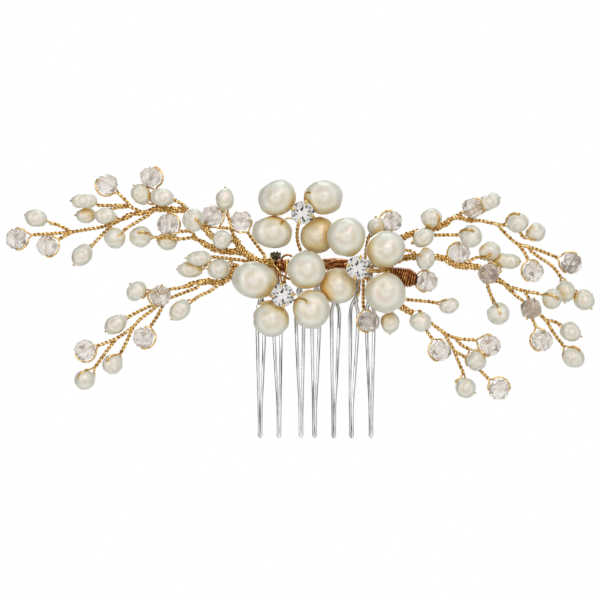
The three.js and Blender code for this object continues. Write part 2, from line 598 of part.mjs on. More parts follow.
// Each sprig gives way to the sprigs before it, and keeps the clearance to them.
function addSprigs() {
  const earlier = [];
  for (const [name, sprig] of Object.entries(SPRIGS)) {
    const whole = earlier.reduce((rest, other) => rest.subtract(other), sprigSolid(sprig, 0));
    addMesh(name, geometryOf(largestBody(whole)), sprig.pearls.length > 0 ? 'pearl' : 'crystal');
    earlier.push(sprigSolid(sprig, CLEARANCE));
  }
}

addRail();
TEETH.forEach((tooth, i) => addTooth(i + 1, tooth));
Object.entries(PETALS).forEach(([name, petal]) => addPetal(name, petal));
Object.entries(FLOWER_HEARTS).forEach(([letter, heart]) => addFlowerHeart(letter, heart));
Object.entries(LASHINGS).forEach(([name, coil]) => addLashing(name, coil));
addSprigs();

export default comb;
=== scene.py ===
# Bridal hair comb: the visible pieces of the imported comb.
# Every size and place in the tables below is in millimetres and in the comb's own frame: X along the rail,
# Z up away from the tooth tips, -Y out of the side on show. MM turns them into Blender's metres.

import math

import bmesh
import bpy
from mathutils import Matrix, Quaternion, Vector, noise


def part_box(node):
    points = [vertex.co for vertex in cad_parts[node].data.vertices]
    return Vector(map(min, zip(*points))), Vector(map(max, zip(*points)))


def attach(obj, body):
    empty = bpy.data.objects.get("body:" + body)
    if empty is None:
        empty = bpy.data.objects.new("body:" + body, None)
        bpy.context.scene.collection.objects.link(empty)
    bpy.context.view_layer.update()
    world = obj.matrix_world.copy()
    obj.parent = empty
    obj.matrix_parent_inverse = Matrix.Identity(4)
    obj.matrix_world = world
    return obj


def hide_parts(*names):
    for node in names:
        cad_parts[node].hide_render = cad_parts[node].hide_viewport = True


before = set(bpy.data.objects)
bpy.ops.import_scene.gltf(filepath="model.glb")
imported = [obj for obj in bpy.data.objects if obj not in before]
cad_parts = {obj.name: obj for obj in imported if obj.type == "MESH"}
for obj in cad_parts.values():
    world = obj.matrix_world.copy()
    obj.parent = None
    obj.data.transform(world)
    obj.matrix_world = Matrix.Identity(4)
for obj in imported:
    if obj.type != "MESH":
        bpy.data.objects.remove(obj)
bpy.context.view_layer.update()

MM = 0.001
CAMERA = {"at": (-3.75, -562.5, -8.75), "lens": 135, "sensor": 36, "clip": (10, 10000)}
FLOOR = {"z": -160, "radius": 520}

# Wires of the sprays: radius of one wire, the twist of a pair with its steps in one turn, and the trunk that
# three pairs make. Their distance from its middle goes by how many are left.
STRAND = 0.25
TWIST = {"pitch": 2.1, "steps": 9, "sides": 6, "wire_phase": 1.3, "trunk_phase": 0.9, "stem_phase": 0.4}
TWIST_STEP = TWIST["pitch"] * MM / TWIST["steps"]
TRUNK = {"pitch": 6.5, "radius": {1: 0.0, 2: 0.42, 3: 0.56}, "blend": 3.0}
PAIR_SHARES = (1.0, 0.82, 0.6)      # how much of a trunk each of its pairs stays in
FORK = 0.75              # from a bead's surface to the place where its two wires part
END_IN_BEAD = 1.6        # a wire that ends this near a bead's middle carries the bead
# A leg: how far it goes into the hole, its lift over a bead in wire radii, and angles in degrees. Past the
# far angle it takes a detour round the bead, and near the mouth it leaves the surface. The detour goes behind
# a pearl and beside a crystal, unless the hole faces the show side.
LEG = {"inside": 0.7, "mouth_lift": 0.6, "lift": 0.9, "crystal_lift": 1.4, "far": 100, "step": 18, "near": 14,
       "pull": 0.3, "forward": -0.2, "facing": -0.3}
# A free end of wire: how near it has to be to a wire that holds it or that it can join, how much nearer to
# the rail that wire has to reach, and how far it then runs along with it.
JOIN = {"held": 0.9, "reach": 4.5, "own_nearer": 1, "nearer": 2, "along": (1.0, 2.6), "apart": 0.5}
# How a pearl strays from a ball: one end fuller, broad and fine lumps, a waist, and dimples at its hole. The
# seed sets which end that is, and shifts the lumps.
PEARL = {"egg": 0.05, "egg_wave": 2.1, "broad": 1.3, "fine": 4, "fine_share": 0.25, "shift": (3.7, 1.3, 2.9),
         "waist_width": 0.42, "dimple": 0.07, "dimple_width": 0.012}
BIG_PEARL = {"around": 72, "lumps": 0.055}
SMALL_PEARL = {"around": 40, "lumps": 0.09, "waist": 0.2}
SEEDS = {"petal": (1.0, 0.83), "sprig": (20.0, 1.9), "bead": 0.37}      # the first one and the step
CRYSTAL = {"girdle": 2.78, "half": 2.45, "end": 1.3, "hole": 0.42, "facets": 6, "middle": 0.52, "bulge": 0.88,
           "band": 0.08, "sector": 30, "spin": 0.7}
# Crystal facets painted dark as dark reflections: one in so many.
FACETS_PAINTED_DARK = {"plain": 9, "fiery": 3}          # one facet in so many is dark
STONE = {"girdle": 2.88, "table": 1.6, "crown": 0.9, "pavilion": 1.65, "band": 0.12, "culet": 0.12,
         "shoulder": (0.8, 0.62), "sector": 11.25, "bands": 6}
# The tiers behind a stone's girdle: radius and depth as shares of the whole, facets and turn of the tier.
PAVILION = [(0.86, 0.24, 16, 0.5), (0.66, 0.52, 16, 0), (0.42, 0.76, 16, 0.5), (0.2, 0.92, 8, 0)]
# Foil look 1 is painted bright and look 3 painted black, as the stone's bright and dark reflections; look 2
# is mirror foil.
FOILS = (1, 1, 3, 1, 1, 1, 1, 1, 1, 2, 3)       # the looks that those facets take by turns
FLAT = 0.6               # facets that differ by fewer degrees are one
CAP = 0.6                # how round the end of a wire is
SETTING = {"rim": 2.84, "top": -0.5, "back": 1.15, "wall": 0.3, "depth": 1.9, "claws": 4, "sides": 40}
# A claw: out from the rim and height over the girdle, from its root to its tip.
CLAW = [(-0.5, -1.1), (0.1, -0.3), (0.08, 0.35), (-0.25, 0.78), (-0.55, 0.86)]
CLAW_WIRE = {"root": 0.2, "swell": 0.16}
HOOK = {"wire": 0.24, "lift": 0.28}             # the lift is from the petal to the wire's middle
RAIL = {"short": 0.3, "bow": 0.04}              # shorter at each end, and bowed upwards in the middle
# How finely a wire is made: the step along it and its sides.
FINE = {"leg": (0.3, 6), "loose": (0.2, 8), "claw": (0.15, 10), "tooth": (0.35, 10), "rail": (1.5, 20)}
# A lashing's coil and the core in it, whose surface is sunk so many wire radii. On the copper lashings the
# core is painted near black, as the shade in the grooves between the turns.
COIL = {"step": 0.05, "sides": 8, "core_every": 10, "core_sides": 16, "sunk": 0.8}

# The seven hairpin teeth: x at the tip, at the widest place and at the rail.
TEETH = [
    (-13.7, -13.5, -13.3),
    (-9.0, -9.4, -9.7),
    (-3.5, -3.75, -4.0),
    (-0.1, 0.2, 0.5),
    (4.7, 5.1, 5.6),
    (9.1, 9.8, 11.0),
    (14.0, 13.8, 13.7),
]

# One wire of a tooth from its tip: share of the way from the tip's x to the widest place's, distance from
# the tooth's middle, and z.
TOOTH_LEG = [(0, 0, -43.12), (0, 0.2, -43.02), (0, 0.275, -42.8), (0, 0.28, -40), (0, 0.33, -35),
             (0.5, 0.62, -26), (1, 0.93, -15), (1, 0.97, -12.4), (1, 0.8, -10.9), (1, 0.5, -9.9)]
# Its radius at the tip and what it gains, from so far below the rail and over so much of its height.
TOOTH_WIRE = {"tip": 0.275, "swell": 0.2, "low": 43, "over": 28}
# Above the arch the two wires twist round each other, and then each goes once round the rail.
TOOTH_TWIST = {"turns": 1.6, "stops": 12, "radius": 0.43, "low": -9.3, "high": -1.5, "lean": 0.25}
TOOTH_LOOP = {"radius": 0.95, "start": -60, "step": 45, "stops": 9, "beside": 0.44, "drift": 0.02}

# Petals: length, width, thickness and tilt of the length in degrees. Their places come from the frame.
PETALS = {
    "petal_a1": (9.7, 8.9, 8.6, 25),
    "petal_a2": (9.8, 8.8, 8.6, -10),
    "petal_a3": (10.2, 8.2, 8.0, -8),
    "petal_a4": (9.4, 8.8, 7.6, 70),
    "petal_b1": (11.6, 9.1, 8.6, -12),
    "petal_b2": (9.6, 9.4, 8.2, 30),
    "petal_b3": (9.0, 8.8, 8.4, 0),
    "petal_b4": (9.9, 9.1, 8.2, 80),
    "petal_c1": (9.9, 9.4, 8.2, 80),
    "petal_c2": (9.9, 9.1, 8.6, 20),
    "petal_c3": (9.3, 8.9, 7.4, 0),
    "petal_c4": (10.4, 10.0, 8.8, -60),
}

# Flowers: how far the claws are turned, in degrees, and the twisted stem from the setting down to the rail.
FLOWERS = {
    "a": (70, [(-3.2, -5.6, 11.9), (-4.3, -3.2, 9.6), (-4.4, -2.0, 6.2), (-3.2, -1.6, 2.4)]),
    "b": (5, [(-7.9, -6.8, -7.4), (-7.8, -3.4, -6.0), (-7.4, -1.7, -2.6)]),
    "c": (75, [(10.5, -7.0, -0.7), (10.9, -4.0, -0.3), (12.2, -1.9, 0.3)]),
}

# The sprays. A trunk is a bundle of twisted pairs, a wire is one twisted pair.
# Pearls are x, y, z, length, width and tilt in degrees, and where the pearl's hole shows, how far the hole is
# to the right of its middle and above it. The others are drilled along their length.
# Crystals are x, y, z and tilt of the drilled axis.
SPRIGS = {
    "left_sprig_01": dict(
        trunk=[(-10.5, -2, 0.6), (-13.3, -2, 0.8), (-16.2, -1.6, 2), (-18.7, -1, 4.5), (-19.8, -0.6, 6.1),
               (-22.5, -0.2, 6.7), (-25.3, 0, 6.9), (-27.5, 0, 9.2), (-31.6, 0, 13.4), (-35, 0, 13.8),
               (-38.8, 0, 14), (-43.8, 0, 13), (-48.7, 0, 11.5), (-51.3, 0, 10), (-57.5, 0, 8.8),
               (-61, 0, 8.2)],
        wires=[[(-60.8, 0, 8.2), (-66.2, -0.5, 7.8), (-71.2, -0.8, 7.4), (-74.6, -0.8, 6.5)],
               [(-60.8, 0, 8.2), (-64.2, -0.4, 10), (-66.8, -0.8, 10.6), (-69.5, -1, 11.7)],
               [(-60.8, 0, 8.2), (-64, 0.4, 6.5), (-67.1, 0.6, 4.8)]],
        pearls=[(-69.5, -1, 11.7, 5.7, 4.5, -15)],
        crystals=[(-74.6, -0.8, 6.5, 90), (-67.1, 0.6, 4.8, 90)]),
    "left_sprig_02": dict(
        wires=[[(-57.7, -1.8, 16), (-54.8, -1.2, 15), (-46.8, -0.8, 14.7), (-44.2, -0.6, 13.6)],
               [(-57.4, 1.3, 12.5), (-54.5, 1.4, 13), (-50.5, 1.2, 14.2), (-46.6, -0.5, 14.6)],
               [(-51.9, -0.6, 20.2), (-49.2, -0.7, 18), (-47, -0.8, 15.8), (-46, -0.8, 14.6)]],
        pearls=[(-57.7, -1.8, 16, 6, 4, 0), (-57.4, 1.3, 12.5, 5.1, 4, 0)],
        crystals=[(-51.9, -0.6, 20.2, -28)]),
    "left_sprig_03": dict(
        wires=[[(-58.2, -0.8, 2.4), (-56, -0.9, 4.5), (-54, -1.1, 6.6), (-50.6, -1.5, 10.1),
                (-49.6, -1.6, 11.6), (-52.2, -2, 12.2)]],
        pearls=[(-52.3, -2, 12.2, 5.4, 4, 0), (-58.2, -0.8, 2.4, 6.2, 4.7, 50)]),
    "left_sprig_04": dict(
        wires=[[(-41.1, -0.4, 22), (-40, 0.7, 19.3), (-39.8, 0.8, 16.6), (-39.6, -0.1, 15.3)],
               [(-43.4, -0.7, 17.6), (-40.8, -0.4, 15.5), (-39.6, -0.1, 15.2)],
               [(-39.6, -0.2, 15.3), (-37.9, -1.6, 16.6), (-34.8, -1.6, 16), (-32.6, -1.2, 14.8)]],
        pearls=[(-43.4, -0.7, 17.6, 5.7, 4.7, -50), (-37.9, -2.2, 16.8, 6.2, 4.5, -8)],
        crystals=[(-41.1, -0.4, 22, 70)]),
    "left_sprig_05": dict(
        wires=[[(-50, -1, 6.7), (-48.7, -1, 7.5), (-47.1, -0.9, 9.1), (-44, -0.8, 11), (-41.3, -0.8, 12.6)]],
        pearls=[(-50, -1, 6.7, 5.4, 5.2, 0, (1.1, 0.5))]),
    "left_sprig_06": dict(
        wires=[[(-30.2, -3.6, 11.2), (-28.4, -3.2, 9.6), (-26.2, -2.4, 7.6), (-23.1, -3.4, 6.2)]],
        pearls=[(-30.2, -3.7, 11.2, 5.7, 5.4, 90, (0.75, 0.1)), (-23.1, -3.4, 6.2, 4.8, 4.7, 0)]),
    "left_sprig_07": dict(
        wires=[[(-22.5, -0.8, 16.4), (-22, -0.6, 13.2), (-21, -0.2, 10), (-20.6, 0.6, 7.8), (-19.9, 0.8, 7)],
               [(-25.7, 0.6, 12.4), (-25.2, 0.6, 9.8), (-21.7, 0.2, 9.2), (-20.9, 0.1, 9)]],
        pearls=[(-22.5, -0.8, 16.4, 5.7, 4.6, 90)],
        crystals=[(-25.7, 0.6, 12.4, 45)]),
    "left_sprig_08": dict(
        wires=[[(-18.5, -0.4, 11.2), (-17, -0.4, 8.5), (-15.3, -0.2, 6), (-13.3, 0.2, 3.3),
                (-12.6, 0.3, 2.4)]],
        crystals=[(-18.5, -0.4, 11.2, 0)]),
    "left_sprig_09": dict(
        trunk=[(-15.6, 0.6, 1.9), (-18.7, 0.6, 3.2), (-22.2, 0, 3.4), (-25, -0.4, 4), (-28, -0.6, 5.5),
               (-30.7, -0.7, 6.7), (-33.8, -0.7, 6.5)],
        wires=[[(-33.4, -0.7, 6.5), (-38.8, -0.7, 6.8), (-43.5, -1.2, 7.1)],
               [(-29.6, -0.7, 6.4), (-31, -1.2, 8.3), (-34.7, -1.8, 8.4), (-36.7, -2.4, 10.1)],
               [(-34.4, -0.7, 6.5), (-36.9, 0.8, 6.2)]],
        pearls=[(-43.5, -1.4, 7.1, 5.5, 5.5, 0, (-0.3, 1.0)), (-36.9, 1.6, 6.2, 5.2, 5, 0)],
        crystals=[(-36.7, -2.6, 10.1, 90)]),
    "left_sprig_10": dict(
        wires=[[(-29, -2.2, 1.7), (-25.7, -1.2, 2), (-20.7, -0.6, 1.5), (-17.5, -0.3, 1), (-16.2, -0.2, 0.7)],
               [(-31.2, 0.5, -1), (-27.9, -0.2, -0.6), (-26.2, -0.8, 1.9)],
               [(-23.9, -1.6, -1), (-21.4, -0.9, 0), (-20.7, -0.6, 1.5)]],
        pearls=[(-29, -2.3, 1.7, 6.2, 3.9, 0), (-31.2, 0.5, -1, 6.4, 4.4, 0),
                (-23.9, -1.8, -1, 5.7, 5.1, 0)]),
    "left_sprig_11": dict(
        trunk=[(-19.7, 0.9, 0.2), (-20.6, 0.9, -1.6), (-21.6, 0.8, -3.1), (-23.8, 0.5, -4.4),
               (-26.8, 0.2, -4.1), (-29.8, 0.1, -4.6), (-33, -0.4, -5.4), (-36.7, -1.2, -6.2)],
        wires=[[(-36.4, -1.2, -6.2), (-38.4, -2, -7.2), (-41, -1.2, -6.4), (-44.5, -1.4, -6.5)]],
        pearls=[(-44.5, -1.6, -6.5, 5.5, 4.5, 0, (-1.5, 1.7))],
        crystals=[(-38.5, -2.6, -7.7, 80)]),
    "left_sprig_12": dict(
        wires=[[(-29.4, 1.2, -5.6), (-32.8, 1.2, -6.9), (-36.7, 1.2, -8.4), (-39.3, 1.1, -9.5),
                (-41.8, 0.9, -10.5), (-44.3, 0.4, -11.7), (-49.7, -0.2, -14.7)],
               [(-37.4, 1.2, -8.7), (-39.2, 1.1, -12.3), (-41, 0.4, -15.2), (-42.9, -0.2, -18.1)]],
        pearls=[(-49.7, -0.4, -14.7, 6.2, 4.7, 36)],
        crystals=[(-42.9, -0.2, -18.1, 80)]),
    "left_sprig_13": dict(
        wires=[[(-38.9, -0.3, -9.9), (-41.5, -0.5, -11.9), (-43.7, -0.7, -13.6), (-45.5, -0.8, -15.5),
                (-49.7, -0.8, -18.4), (-52.7, -0.8, -19.6), (-57.4, -0.8, -21.2)],
               [(-49.6, -0.8, -18.4), (-52, -0.8, -21.5), (-54.7, -0.8, -25.2), (-57.4, -0.8, -28.6)],
               [(-45.4, -0.8, -15.5), (-47, -0.8, -19), (-48.3, -0.8, -21.6), (-50.5, -0.8, -24.7)]],
        pearls=[(-57.4, -0.9, -28.6, 5.2, 5.2, 0, (-1.5, 0.6)),
                (-50.5, -0.9, -24.7, 5.2, 5, 90, (-1.25, 1.0))],
        crystals=[(-57.4, -0.8, -21.2, 25)]),
    "left_sprig_14": dict(
        wires=[[(-24.2, -0.7, -5), (-26, -0.8, -6.4), (-29.5, -0.8, -8.1), (-31.2, -0.8, -9.6),
                (-33.7, -0.8, -11.2)]],
        pearls=[(-33.7, -0.8, -11.2, 6.2, 4.5, 48)]),
    "right_sprig_01": dict(
        wires=[[(15.2, -1.8, 9.5), (13.6, -1.2, 7.6), (13, -0.6, 5.2), (12.5, 0, 1.6)],
               [(19.1, -1.7, 10.9), (18.6, -0.9, 7.6), (15.4, -0.6, 4.6), (12.9, -0.4, 4.2)]],
        pearls=[(15.2, -1.9, 9.5, 4.7, 4.4, 90)],
        crystals=[(19.1, -1.8, 10.9, 90)]),
    "right_sprig_02": dict(
        trunk=[(17.6, 0.2, 0.9), (19, 0.2, 3.4), (21.5, 0.1, 6.6), (24.3, 0, 7.8), (29.3, 0, 9),
               (32.3, 0, 10.2), (35.7, 0, 12), (38.8, 0, 11.2), (42.5, 0, 10.8), (46.3, 0, 10)],
        wires=[[(25.2, -0.2, 8), (26.4, -2, 7.4), (26.8, -2.8, 6.8)],
               [(28.2, -0.2, 8.8), (28.9, -1.4, 10.4), (29, -1.6, 11.7)]],
        pearls=[(26.8, -3.2, 6.7, 5.7, 4.5, 30), (29, -1.8, 11.7, 5.5, 5, 0, (1.4, 0.75))]),
    "right_sprig_03": dict(
        wires=[[(36.4, -0.9, 13), (39, -1.2, 13.6), (41.2, -0.8, 15), (43.5, -0.6, 15.7)]],
        pearls=[(43.5, -0.7, 15.7, 5.5, 4.2, 22)],
        crystals=[(39.2, -2, 14.2, 70)]),
    "right_sprig_04": dict(
        wires=[[(47.2, -0.2, 10), (50.5, -1.6, 10.4)],
               [(50.5, -1.6, 10), (52, -0.6, 7), (54.5, -0.2, 7.2), (55.2, 0.2, 8.2)]],
        pearls=[(50.5, -1.8, 10.5, 5.5, 5, 0, (0.2, 2.1)), (55.2, 0.3, 8.2, 5, 4.7, 0, (-0.5, -2.0))]),
    "right_sprig_05": dict(
        wires=[[(46.6, 0.5, 9), (48.5, 0.7, 7.1), (50.5, 0.4, 5.4), (54.5, -0.2, 4.2), (58, -0.5, 2.9),
                (60.8, -0.7, 1.7), (64, -0.8, 0.4)],
               [(50.8, 0.3, 5.3), (52.7, -0.4, 2.5), (53.2, -0.7, 1.2), (54.5, -0.8, -1.7)]],
        crystals=[(64, -0.8, 0.4, 60), (54.5, -0.8, -1.7, 60)]),
    "right_sprig_06": dict(
        wires=[[(53.9, 0.9, 3.6), (56.5, 0.8, 1.7), (59.2, 0.6, -0.1), (61.7, 0.6, -3.5), (62.7, 0.8, -6.5)],
               [(62, 0.6, -4), (65, 0.8, -6.5), (67.5, 1.2, -8.7)]],
        pearls=[(62.7, 0.9, -6.5, 5.5, 5, 90), (67.5, 1.6, -8.7, 5.6, 5, -50)]),
    "right_sprig_07": dict(
        wires=[[(29.3, -0.9, 7.4), (33.2, -1, 7.5), (36.3, -1.8, 7.4), (38.7, -2.6, 7)]],
        pearls=[(38.7, -3.2, 7, 5.7, 5.4, 90, (0.5, 1.25))]),
    "right_sprig_08": dict(
        wires=[[(17.2, -0.6, -1.2), (19.2, -0.6, -1.7), (25, -0.9, -3.6), (28, -1.4, -4)],
               [(17.5, -0.6, -1.2), (18.6, -1.1, 1.2), (22.8, -1.3, 3.7), (24.3, -1.8, 3.2),
                (27.5, -2.8, 1.5)]],
        pearls=[(27.5, -2.9, 1.5, 5.7, 4.7, 90, (-1.4, 0.75))],
        crystals=[(28, -1.5, -4.1, 80)]),
    "right_sprig_09": dict(
        trunk=[(17.4, 1.4, -0.4), (20, 1.3, 0.9), (22.3, 1, 1.8), (29.7, 0.8, 2), (32.5, 0.7, 1.6),
               (34.2, 0.6, 0.5), (36.2, 0.6, -0.2), (40.8, 0.6, -0.6), (45.5, 0.6, -3.6), (48.2, 0.6, -5.5),
               (51.5, 0.6, -8.5), (56.3, 0.6, -12.4)],
        wires=[[(34.6, 0.6, 0.3), (36.2, 0.6, 3)],
               [(36.8, 0.5, 0.2), (40.5, -0.8, 2), (43.5, -1.6, 3.4)],
               [(41, -0.7, 1.9), (45, 0.2, 1), (48, 0.3, 1)]],
        pearls=[(43.5, -1.8, 3.4, 5.5, 4.7, 0, (0.1, -0.9)), (48, 0.4, 1, 6.6, 4.2, -4)],
        crystals=[(36.2, 0.6, 3, 90)]),
    "right_sprig_10": dict(
        wires=[[(41.6, -0.4, -1.8), (43.3, -1.6, -2.4), (43, -1, -4.6), (44, -0.8, -7.8), (45.3, -0.8, -10.4),
                (45.7, -0.8, -12.1)]],
        pearls=[(45.7, -0.9, -12.1, 5.7, 5.7, 0, (0.25, -0.1))],
        crystals=[(43.2, -2.8, -2.2, 90)]),
    "right_sprig_11": dict(
        wires=[[(49.2, -0.6, -5.6), (52.3, -0.9, -6.5), (55.5, -1.4, -7.1), (59, -2.4, -8.3)],
               [(52.3, -0.9, -6.5), (53.2, -2, -8.4), (53.7, -2.4, -10.9), (54.2, -1.5, -13.4),
                (55.3, -0.8, -15.8), (56.7, -0.8, -18.9)]],
        pearls=[(59, -2.7, -8.4, 5.2, 5, 90, (1.25, 0.0))],
        crystals=[(53.7, -2.8, -10.9, 70), (56.7, -0.8, -18.9, 75)]),
    "right_sprig_12": dict(
        wires=[[(57.2, 0.6, -13.2), (58.3, 0.6, -14.6), (59.5, 0.5, -16.7), (62, 0.3, -20), (64.7, 0, -23.1)],
               [(57.8, 0.6, -13.8), (60, 0.2, -14.2), (63.9, -0.2, -16.7)]],
        pearls=[(64.7, -0.2, -23.1, 5.7, 5, 0, (1.25, 1.8)), (63.9, -0.4, -16.7, 5.5, 4.7, -25)]),
    "right_sprig_13": dict(
        wires=[[(17.6, 1.2, -2.8), (19, 0.8, -6), (22.3, -0.2, -8.4), (25.7, -0.5, -8.9), (29.5, -0.8, -9.3),
                (33.5, -1, -10.2)]],
        pearls=[(33.5, -1.2, -10.2, 5.2, 3.9, 0, (-0.75, 1.4))]),
    "right_sprig_14": dict(
        trunk=[(16.4, 2.2, -2.6), (17.2, 2, -6), (21.2, 0.7, -10.2), (24, 0.5, -11.8), (28.7, 0.2, -14.3),
               (32.6, 0, -17.2)],
        wires=[[(25, 0.3, -12.3), (26.1, -1.6, -13.2), (26.2, -2.4, -14)],
               [(27, 0.2, -13.4), (27.9, 0, -16.4), (29.7, -0.2, -19), (31.4, -0.6, -21.4)]],
        pearls=[(26.2, -3, -14, 5.6, 5, -35, (0.2, 2.0))],
        crystals=[(31.4, -0.8, -21.4, 75)]),
    "right_sprig_15": dict(
        wires=[[(33.9, -0.4, -17.9), (36.7, -0.6, -18.5), (40.7, -0.8, -18.9), (43.7, -1, -20.1)],
               [(35, -0.5, -18.2), (36.6, -0.8, -20), (40.2, -1, -22), (40.2, -1, -23.9)]],
        pearls=[(40.2, -1.1, -23.9, 5.2, 5, 20, (2.0, 1.2))],
        crystals=[(43.7, -1.1, -20.1, 85)]),
    "right_sprig_16": dict(
        wires=[[(33.2, 0.6, -18.6), (34.6, 0.7, -21), (35.8, 0.4, -24), (37.2, -0.2, -27.6),
                (37.5, -0.7, -30.6)],
               [(34.8, 0.7, -21.4), (37.4, 1.9, -23), (41.2, 1.3, -26.2), (43.5, -0.2, -28.6),
                (45.9, -0.8, -31.1)]],
        pearls=[(37.5, -0.9, -30.6, 5.3, 5, -30)],
        crystals=[(45.9, -0.9, -31.1, 0)]),
    "right_sprig_17": dict(
        wires=[[(13.5, -3.6, -14.1), (12.2, -3, -11.3), (12, -2.4, -6), (12.3, -1.9, -2.4),
                (13.2, -1.9, -1.6)],
               [(18.7, -2.2, -14.2), (17.4, -1.5, -11), (15, -1.7, -6), (12.6, -2, -3)]],
        pearls=[(18.7, -2.3, -14.2, 5.5, 4.7, 90)],
        crystals=[(13.5, -3.7, -14.1, 85)]),
}

# Crystals with more facets painted dark, as dark reflections, than the others.
FIERY = {("right_sprig_17", 1), ("right_sprig_11", 1), ("right_sprig_10", 1), ("right_sprig_05", 1),
         ("left_sprig_09", 1)}
# Pearls with a waist.
PEANUTS = {("left_sprig_02", 1), ("right_sprig_03", 1), ("right_sprig_09", 2)}

# Wire ends over the petals: the petal, the node whose wire it is, and points of x and z in mm.
HOOKS = [
    ("petal_a3", "claw_setting_a", [(-4.3, 10.3), (-5.4, 11.4), (-6.9, 11.5), (-8.0, 10.7), (-8.5, 9.9)]),
    ("petal_a2", "claw_setting_a", [(-2.4, 15.4), (-2.6, 16.8), (-2.0, 17.8), (-1.2, 17.6)]),
    ("petal_b4", "claw_setting_b", [(-5.4, -8.8), (-3.8, -8.5), (-2.5, -8.7), (-1.9, -9.5)]),
    ("petal_b3", "claw_setting_b", [(-13.6, -9.8), (-12.6, -9.3), (-11.6, -9.0), (-10.6, -8.9)]),
]

# Lamps: place, power, size and colour.
LAMPS = {
    "key": ((200, -640, 380), 1.25, 400, (1.0, 0.99, 0.97)),
    "fill": ((-420, -480, 80), 0.85, 400, (1.0, 0.97, 0.92)),
    "top": ((60, 120, 640), 1.2, 420, (1.0, 1.0, 1.0)),
    "back": ((-160, 600, 320), 1.1, 380, (1.0, 0.985, 0.95)),
}


# ---- Curves ----

def at(point):
    """A point of the tables, in metres."""
    return Vector(point) * MM


def between(p0, p1, p2, p3, share):
    """A point between p1 and p2 on the centripetal Catmull-Rom curve through all four."""
    t1 = (p1 - p0).length ** 0.5
    t2 = t1 + (p2 - p1).length ** 0.5
    t3 = t2 + (p3 - p2).length ** 0.5
    t = t1 + (t2 - t1) * share
    a1 = p0.lerp(p1, t / t1)
    a2 = p1.lerp(p2, (t - t1) / (t2 - t1))
    a3 = p2.lerp(p3, (t - t2) / (t3 - t2))
    b1 = a1.lerp(a2, t / t2)
    b2 = a2.lerp(a3, (t - t1) / (t3 - t1))
    return b1.lerp(b2, (t - t1) / (t2 - t1))


def resampled(points, step):
    """Points evenly spaced along a line of short straight pieces, about one step apart."""
    reach = [0.0]
    for a, b in zip(points, points[1:]):
        reach.append(reach[-1] + (b - a).length)
    count = max(2, round(reach[-1] / step))
    result = []
    place = 0
    for i in range(count + 1):
        goal = reach[-1] * i / count
        while place < len(points) - 2 and reach[place + 1] < goal:
            place += 1
        gap = reach[place + 1] - reach[place]
        result.append(points[place].lerp(points[place + 1], (goal - reach[place]) / gap if gap > 0 else 0))
    return result


def curve_through(points, step):
    """Evenly spaced points on a smooth curve through the given ones."""
    padded = [points[0] * 2 - points[1], *points, points[-1] * 2 - points[-2]]
    dense = []
    for p0, p1, p2, p3 in zip(padded, padded[1:], padded[2:], padded[3:]):
        count = max(3, math.ceil(2 * (p2 - p1).length / step))
        dense += [between(p0, p1, p2, p3, i / count) for i in range(count)]
    dense.append(points[-1])
    return resampled(dense, step)


def cross_directions(path):
    """For each point of a path, two directions across it that don't twist along the way."""
    last = len(path) - 1
    along = [(path[min(i + 1, last)] - path[max(i - 1, 0)]).normalized() for i in range(last + 1)]
    across = along[0].orthogonal().normalized()
    result = []
    for before, now in zip([along[0], *along], along):
        across = before.rotation_difference(now) @ across
        across = (across - now * across.dot(now)).normalized()
        result.append((across, now.cross(across)))
    return result


def wound(path, radii, pitch, phase):
    """A path that winds round another one, at a distance given for each point."""
    result = []
    travelled = 0.0
    for i, (centre, (across, up)) in enumerate(zip(path, cross_directions(path))):
        if i:
            travelled += (centre - path[i - 1]).length
        turn = phase + 2 * math.pi * travelled / pitch
        result.append(centre + (across * math.cos(turn) + up * math.sin(turn)) * radii[i])
    return result


# ---- Shapes ----

class Shape:
    """The points and faces of one piece while it is being made."""

    def __init__(self):
        self.points = []
        self.faces = []
        self.looks = []

    def ring(self, centre, across, up, radius, sides):
        """Points in a circle. Returns their numbers."""
        first = len(self.points)
        for i in range(sides):
            turn = 2 * math.pi * i / sides
            self.points.append(centre + (across * math.cos(turn) + up * math.sin(turn)) * radius)
        return range(first, first + sides)

    def face(self, corners, look):
        self.faces.append(tuple(corners))
        self.looks.append(look)

    def bridge(self, a, b, look):
        """A band of faces between two rings."""
        count = len(a)
        for i in range(count):
            j = (i + 1) % count
            self.face((a[i], a[j], b[j], b[i]), look)

    def tube(self, path, radii, sides=TWIST["sides"], look=0):
        """A round wire along a path, with rounded ends. The radius is one number or one for each point."""
        if not isinstance(radii, list):
            radii = [radii] * len(path)
        directions = cross_directions(path)
        start = (path[0] - path[1]).normalized()
        stop = (path[-1] - path[-2]).normalized()
        centres = [path[0] + start * radii[0] * CAP, *path, path[-1] + stop * radii[-1] * CAP]
        directions = [directions[0], *directions, directions[-1]]
        radii = [radii[0] * CAP, *radii, radii[-1] * CAP]
        rings = [self.ring(c, a, u, r, sides) for c, (a, u), r in zip(centres, directions, radii)]
        for a, b in zip(rings, rings[1:]):
            self.bridge(a, b, look)
        self.face(reversed(rings[0]), look)
        self.face(rings[-1], look)

    def wire(self, stops, radius, kind):
        """A smooth round wire through a few points."""
        step, sides = FINE[kind]
        self.tube(curve_through(stops, step * MM), radius, sides)

    def lathe(self, profile, sides):
        """A closed profile of (radius, height) turned round Z."""
        x, y, z = Matrix.Identity(3)
        rings = [self.ring(z * height, x, y, radius, sides) for radius, height in profile]
        for a, b in zip(rings, [*rings[1:], rings[0]]):
            self.bridge(a, b, 0)

    def mesh(self, name):
        """The piece as a smooth mesh."""
        made = bpy.data.meshes.new(name)
        made.from_pydata(self.points, [], self.faces)
        made.polygons.foreach_set("material_index", self.looks)
        made.polygons.foreach_set("use_smooth", [True] * len(self.faces))
        made.validate()
        made.update()
        return made


